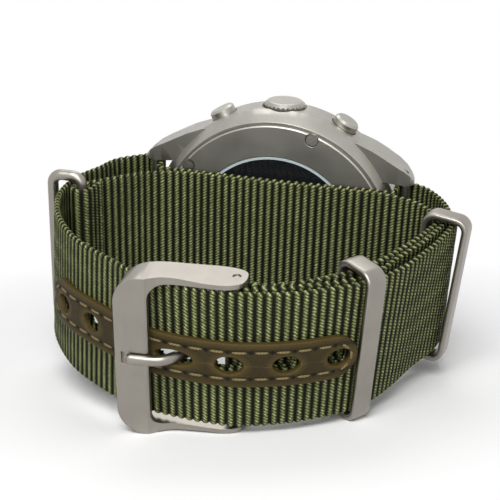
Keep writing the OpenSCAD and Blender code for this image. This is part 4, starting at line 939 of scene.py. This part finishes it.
def keeper(plan, node, s, material, out_gap, in_gap, turn=0):
    """A steel strip of soft section, bent round the strap's layers."""
    outer = STRAP_T / 2 + out_gap
    inner = third_depth(s - plan.s_hinge) + STRAP_T / 2 + in_gap
    half_t = KEEPER_T / 2
    path = rounded_rect_path(KEEPER_HIGH + half_t, -inner - half_t, outer + half_t, KEEPER_BEND_R)
    middle, side, through = section_axes(plan.tail, s, 1.0)
    along = -side.cross(through)
    tip = Matrix.Rotation(math.radians(turn), 3, along)
    side, through = tip @ side, tip @ through
    points = []
    for p, n in path:
        for a, b in rounded_loop(KEEPER_W / 2, half_t, STRIP_SQUARENESS, STRIP_SIDES):
            spot = p + n * b
            points.append(stand(*(middle + side * spot.x - through * spot.y + along * a)))
    obj = make_mesh(node + "_soft", points, tube_faces(len(path), STRIP_SIDES, closed=True))
    return fit(obj, "watch", "fitting_steel", material, node)


def at_buckle(plan, x, y, z):
    """Place by the buckle's own axes: along the arms, out of the strap, across it."""
    spot = Matrix.Rotation(math.radians(FRONT_LEAN), 3, "X") @ Matrix.Rotation(
        math.radians(180 + BUCKLE_LEAN), 3, "Z") @ Vector((x, y, z))
    return stand(plan.hinge_at.x + spot.x, plan.hinge_at.y + spot.y, spot.z)


# Edges of the solids that turn by more than this, in degrees, are rounded
SHARP_ANGLE = 32


def soften(node, width, segments=3):
    """Rounds the sharp edges of a CAD solid, by a width in mm, without moving the solid."""
    obj = frame["nodes"][node]
    weld = obj.modifiers.new("Weld", "WELD")
    weld.merge_threshold = 0.001 * MM
    bevel = obj.modifiers.new("Bevel", "BEVEL")
    bevel.width, bevel.segments = width * MM, segments
    bevel.limit_method, bevel.angle_limit = "ANGLE", math.radians(SHARP_ANGLE)
    bevel.use_clamp_overlap, bevel.harden_normals = True, True


# The prong's middle line by the buckle's own axes, and its section and tip
PRONG_LINE = [(0, 0), (1.8, -0.3), (3.6, -0.4), (5.2, 0.2), (6.7, 1.5), (8.1, 2.95), (9.4, 4.1),
              (10.8, 4.58), (12.4, 4.7), (14.5, 4.68)]
PRONG_W, PRONG_T, PRONG_SQUARENESS, PRONG_STEPS, PRONG_SIDES = 1.5, 1.3, 2.6, 40, 20
TIP_L, TIP_R, TIP_LEAST = 0.6, 1.1, 0.02

# The prong's eye round the hinge bar
EYE_HALF_W, EYE_HALF_T, EYE_GAP, EYE_SQUARENESS, EYE_STEPS, EYE_SIDES = 1.1, 0.3, 0.06, 4, 28, 12


def prong(plan, material):
    """Prong of round section, with a round tip and an eye on the hinge bar."""
    line = Line(smooth(PRONG_LINE, 3))
    points = []
    for i in range(PRONG_STEPS + 1):
        s = line.length * i / PRONG_STEPS
        p, n = line.at(s), left_of(line.way(s))
        left = line.length - s
        tip = 1.0
        if left < TIP_L:
            tip = math.sqrt(max(TIP_LEAST, 1 - max(0.0, 1 - (left + PRONG_T / 2) / TIP_R) ** 2))
        for a, b in rounded_loop(PRONG_W / 2 * tip, PRONG_T / 2 * tip, PRONG_SQUARENESS, PRONG_SIDES):
            points.append(at_buckle(plan, p.x + n.x * b, p.y + n.y * b, a))
    base = len(points)
    for i in range(EYE_STEPS):
        n = polar(1, 360 * i / EYE_STEPS)
        for a, b in rounded_loop(EYE_HALF_W, EYE_HALF_T, EYE_SQUARENESS, EYE_SIDES):
            r = PIN_R + EYE_GAP + EYE_HALF_T + b
            points.append(at_buckle(plan, n.x * r, n.y * r, a))
    faces = tube_faces(PRONG_STEPS + 1, PRONG_SIDES)
    faces += [tuple(base + k for k in f) for f in tube_faces(EYE_STEPS, EYE_SIDES, closed=True)]
    obj = make_mesh("buckle_prong_soft", points, faces)
    return fit(obj, "prong", "fitting_steel", material, "buckle_prong")


# Operators

class Step:
    """What the operators share: each makes its pieces in the scene and has then finished."""

    def execute(self, context):
        self.make(context.scene)
        return {"FINISHED"}


class WATCH_OT_webbing(Step, bpy.types.Operator):
    """Makes the main strap and the under-strap as ribbed webbing"""
    bl_idname = "watch.webbing"
    bl_label = "Webbing"

    def make(self, scene):
        plan, w = StrapPlan(), scene.watch_webbing
        material = woven("ribbed webbing", w)
        tail_start = plan.main.length - plan.s_tail_end
        cuts = [(tail_start + h, lookup(h, LEATHER_MID), *HOLE_CUT) for h in plan.holes]
        cuts.append((tail_start + plan.s_prong, 0.0, *PRONG_CUT))
        webbing("main_strap_woven", plan.main, w, cuts, material, "main_strap")
        webbing("under_strap_woven", plan.under, w, [], material, "under_strap")


class WATCH_OT_leather(Step, bpy.types.Operator):
    """Makes the leather strip with its adjusting holes and its stitching"""
    bl_idname = "watch.leather"
    bl_label = "Leather"

    def make(self, scene):
        plan, s = StrapPlan(), scene.watch_leather
        leather_strip(plan, s, hide("waxed leather", s))
        leather_stitches(plan, s, twine("waxed thread", s))


class WATCH_OT_fittings(Step, bpy.types.Operator):
    """Makes the buckle, its prong and the keepers with soft edges, and finishes the end ring"""
    bl_idname = "watch.fittings"
    bl_label = "Fittings"

    def make(self, scene):
        plan, m = StrapPlan(), scene.watch_metal
        steel = blasted_steel("blasted fittings", m.fittings, 0.3)
        dress("fitting_steel", steel)
        keeper(plan, "keeper_near", plan.s_keeper_near, steel, out_gap=0.15, in_gap=0.15)
        keeper(plan, "keeper_far", plan.s_keeper_far, steel, out_gap=1.0, in_gap=0.8, turn=2.2)
        soften("buckle_frame", width=0.5, segments=4)
        prong(plan, steel)


class WATCH_OT_case(Step, bpy.types.Operator):
    """Finishes the case, its back, the crown and the pushers"""
    bl_idname = "watch.case"
    bl_label = "Case"

    def make(self, scene):
        m = scene.watch_metal
        for node, width in (("case_middle", 0.22), ("bezel", 0.12), ("case_back", 0.12)):
            soften(node, width)
        dress("case_steel", blasted_steel("blasted case", m.case, 0.36))
        dress("crown_steel", blasted_steel("blasted crown", tinted(m.case, 1.05), 0.3))
        dress("small_steel", turned_steel("turned steel", tinted(m.case, 1.1), 0.2))
        dress("pale_gasket", rubber("pale gasket", "A9B4B6", 0.45))
        dress("gasket_rubber", rubber("black rubber", "161616", 0.7))
        dress("window_glass", clear_glass("back window", (0.012, 0.014, 0.017), 0.6))
        dress("crystal_glass", clear_glass("front crystal", (0.2, 0.24, 0.26), 0.1))


class WATCH_OT_movement(Step, bpy.types.Operator):
    """Finishes the plates, wheels and springs inside the case"""
    bl_idname = "watch.movement"
    bl_label = "Movement"

    def make(self, scene):
        m = scene.watch_metal
        dress("movement_metal", grained_plate("grained plates", m.movement))
        dress("wheel_brass", gilt("gilt wheels", m.brass))
        dress("blued_steel", blued("blued spring"))
        dress("holder_plastic", rubber("holder ring", "BDB8A8", 0.5))


class WATCH_OT_dial(Step, bpy.types.Operator):
    """Finishes the dial, its markers and the hands"""
    bl_idname = "watch.dial"
    bl_label = "Dial"

    def make(self, scene):
        dress("dial_black", paint_coat("dial lacquer", "141516", 0.5))
        dress("marker_paint", paint_coat("marker paint", "DAD8CC", 0.55))
        dress("hand_paint", paint_coat("hand paint", "E2E0D6", 0.45))
        dress("chrono_paint", paint_coat("orange paint", "C9491C", 0.45))


# Soft round lamps: place and width in m, power in W; all look at one point
LAMPS = [("key", (0.03, -0.36, 0.36), 0.3, 2.5), ("fill", (0.16, -0.5, 0.16), 0.35, 1.1),
         ("rim", (-0.05, 0.2, 0.45), 0.3, 0.5)]
LAMP_TARGET = (0, 0, 0.02)

# The world's light on the pieces, and its brightness as seen
WORLD_LIGHT, WORLD_SEEN = 0.13, 1.0

# The floor, in m: half its side, and from where to where it fades to white round the watch
FLOOR_REACH, FADE_START, FADE_END = 3.0, 0.045, 0.1


def area_lamp(name, place, width, power):
    data = bpy.data.lights.new(name, "AREA")
    data.shape, data.size, data.energy = "DISK", width, power
    lamp = add_object(name, data)
    lamp.location = place
    lamp.rotation_euler = (Vector(LAMP_TARGET) - Vector(place)).to_track_quat("-Z", "Y").to_euler()


class WATCH_OT_stage(Step, bpy.types.Operator):
    """Makes the camera, the pale floor, the world and the lamps"""
    bl_idname = "watch.stage"
    bl_label = "Stage"

    def make(self, scene):
        s = scene.watch_stage
        scene.view_settings.view_transform = "Standard"
        self.camera(scene, s)
        self.floor(s)
        self.world(scene)
        for lamp in LAMPS:
            area_lamp(*lamp)

    def camera(self, scene, s):
        """The camera stands by the case's own axes, so that it follows the watch's stance."""
        data = bpy.data.cameras.new("camera")
        data.sensor_width, data.lens = 36, s.lens
        data.clip_start, data.clip_end = 0.005, 20
        camera = add_object("camera", data)
        back = Vector((math.sin(s.yaw) * math.cos(s.elevation), -math.cos(s.yaw) * math.cos(s.elevation),
                       math.sin(s.elevation)))
        level = Vector((math.cos(s.yaw), math.sin(s.yaw), 0))
        right = math.cos(s.roll) * level - math.sin(s.roll) * back.cross(level)
        place = stand(*(Vector(s.aim) + back * s.distance))
        axes = Matrix((right, back.cross(right), back)).transposed()
        camera.matrix_world = Matrix.Translation(place) @ (TURN @ axes).to_4x4()
        scene.camera = camera

    def floor(self, s):
        """A pale floor that takes the shadow near the watch and is plain white further out."""
        corners = [(x * FLOOR_REACH, y * FLOOR_REACH, 0) for x, y in ((-1, -1), (1, -1), (1, 1), (-1, 1))]
        floor = make_mesh("floor", corners, [(0, 1, 2, 3)])
        p = Paint("floor")
        tone = p.noise(50.0)
        p.finish(base_color=p.tones(tone, s.floor, 0.98, 1), roughness=0.9)
        away = p.node("ShaderNodeVectorMath", {"operation": "LENGTH"}, [p.place], 1)
        far = p.span(away, FADE_START, FADE_END)
        white = p.tree.nodes.new("ShaderNodeEmission")
        both = p.tree.nodes.new("ShaderNodeMixShader")
        p.connect(both.inputs[0], far * p.seen())
        p.tree.links.new(p.shader.outputs[0], both.inputs[1])
        p.tree.links.new(white.outputs[0], both.inputs[2])
        p.tree.links.new(both.outputs[0], p.tree.nodes["Material Output"].inputs[0])
        floor.data.materials.append(p.material)

    def world(self, scene):
        """An even white world, faint as light on the pieces and white where it is seen."""
        world = bpy.data.worlds.new("studio")
        world.use_nodes = True
        scene.world = world
        p = Nodes(world.node_tree)
        colour, strength = p.tree.nodes["Background"].inputs[:2]
        colour.default_value = (1, 1, 1, 1)
        p.connect(strength, p.span(p.seen(), 0.0, 1.0, WORLD_LIGHT, WORLD_SEEN))


class WATCH_PT_panel(bpy.types.Panel):
    """Lists the watch's pieces and settings"""
    bl_label = "Pilot watch"
    bl_space_type = "VIEW_3D"
    bl_region_type = "UI"
    bl_category = "Watch"

    def draw(self, context):
        for group in SETTINGS:
            box = self.layout.box()
            settings = getattr(context.scene, group)
            for key in settings.bl_rna.properties.keys():
                if key not in ("name", "rna_type"):
                    box.prop(settings, key)
        for operator in OPERATORS:
            self.layout.operator(operator.bl_idname)


SETTINGS = {
    "watch_webbing": WebbingSettings, "watch_leather": LeatherSettings, "watch_metal": MetalSettings,
    "watch_stage": StageSettings,
}
OPERATORS = [WATCH_OT_stage, WATCH_OT_webbing, WATCH_OT_leather, WATCH_OT_fittings, WATCH_OT_case,
             WATCH_OT_movement, WATCH_OT_dial]


def register():
    for cls in [*SETTINGS.values(), *OPERATORS, WATCH_PT_panel]:
        bpy.utils.register_class(cls)
    for name, cls in SETTINGS.items():
        setattr(bpy.types.Scene, name, bpy.props.PointerProperty(type=cls))


def unregister():
    for name in SETTINGS:
        delattr(bpy.types.Scene, name)
    for cls in reversed([*SETTINGS.values(), *OPERATORS, WATCH_PT_panel]):
        bpy.utils.unregister_class(cls)


def main():
    register()
    for operator in OPERATORS:
        getattr(bpy.ops.watch, operator.bl_idname.split(".")[1])()
    bpy.context.view_layer.update()


if __name__ == "__main__":
    main()
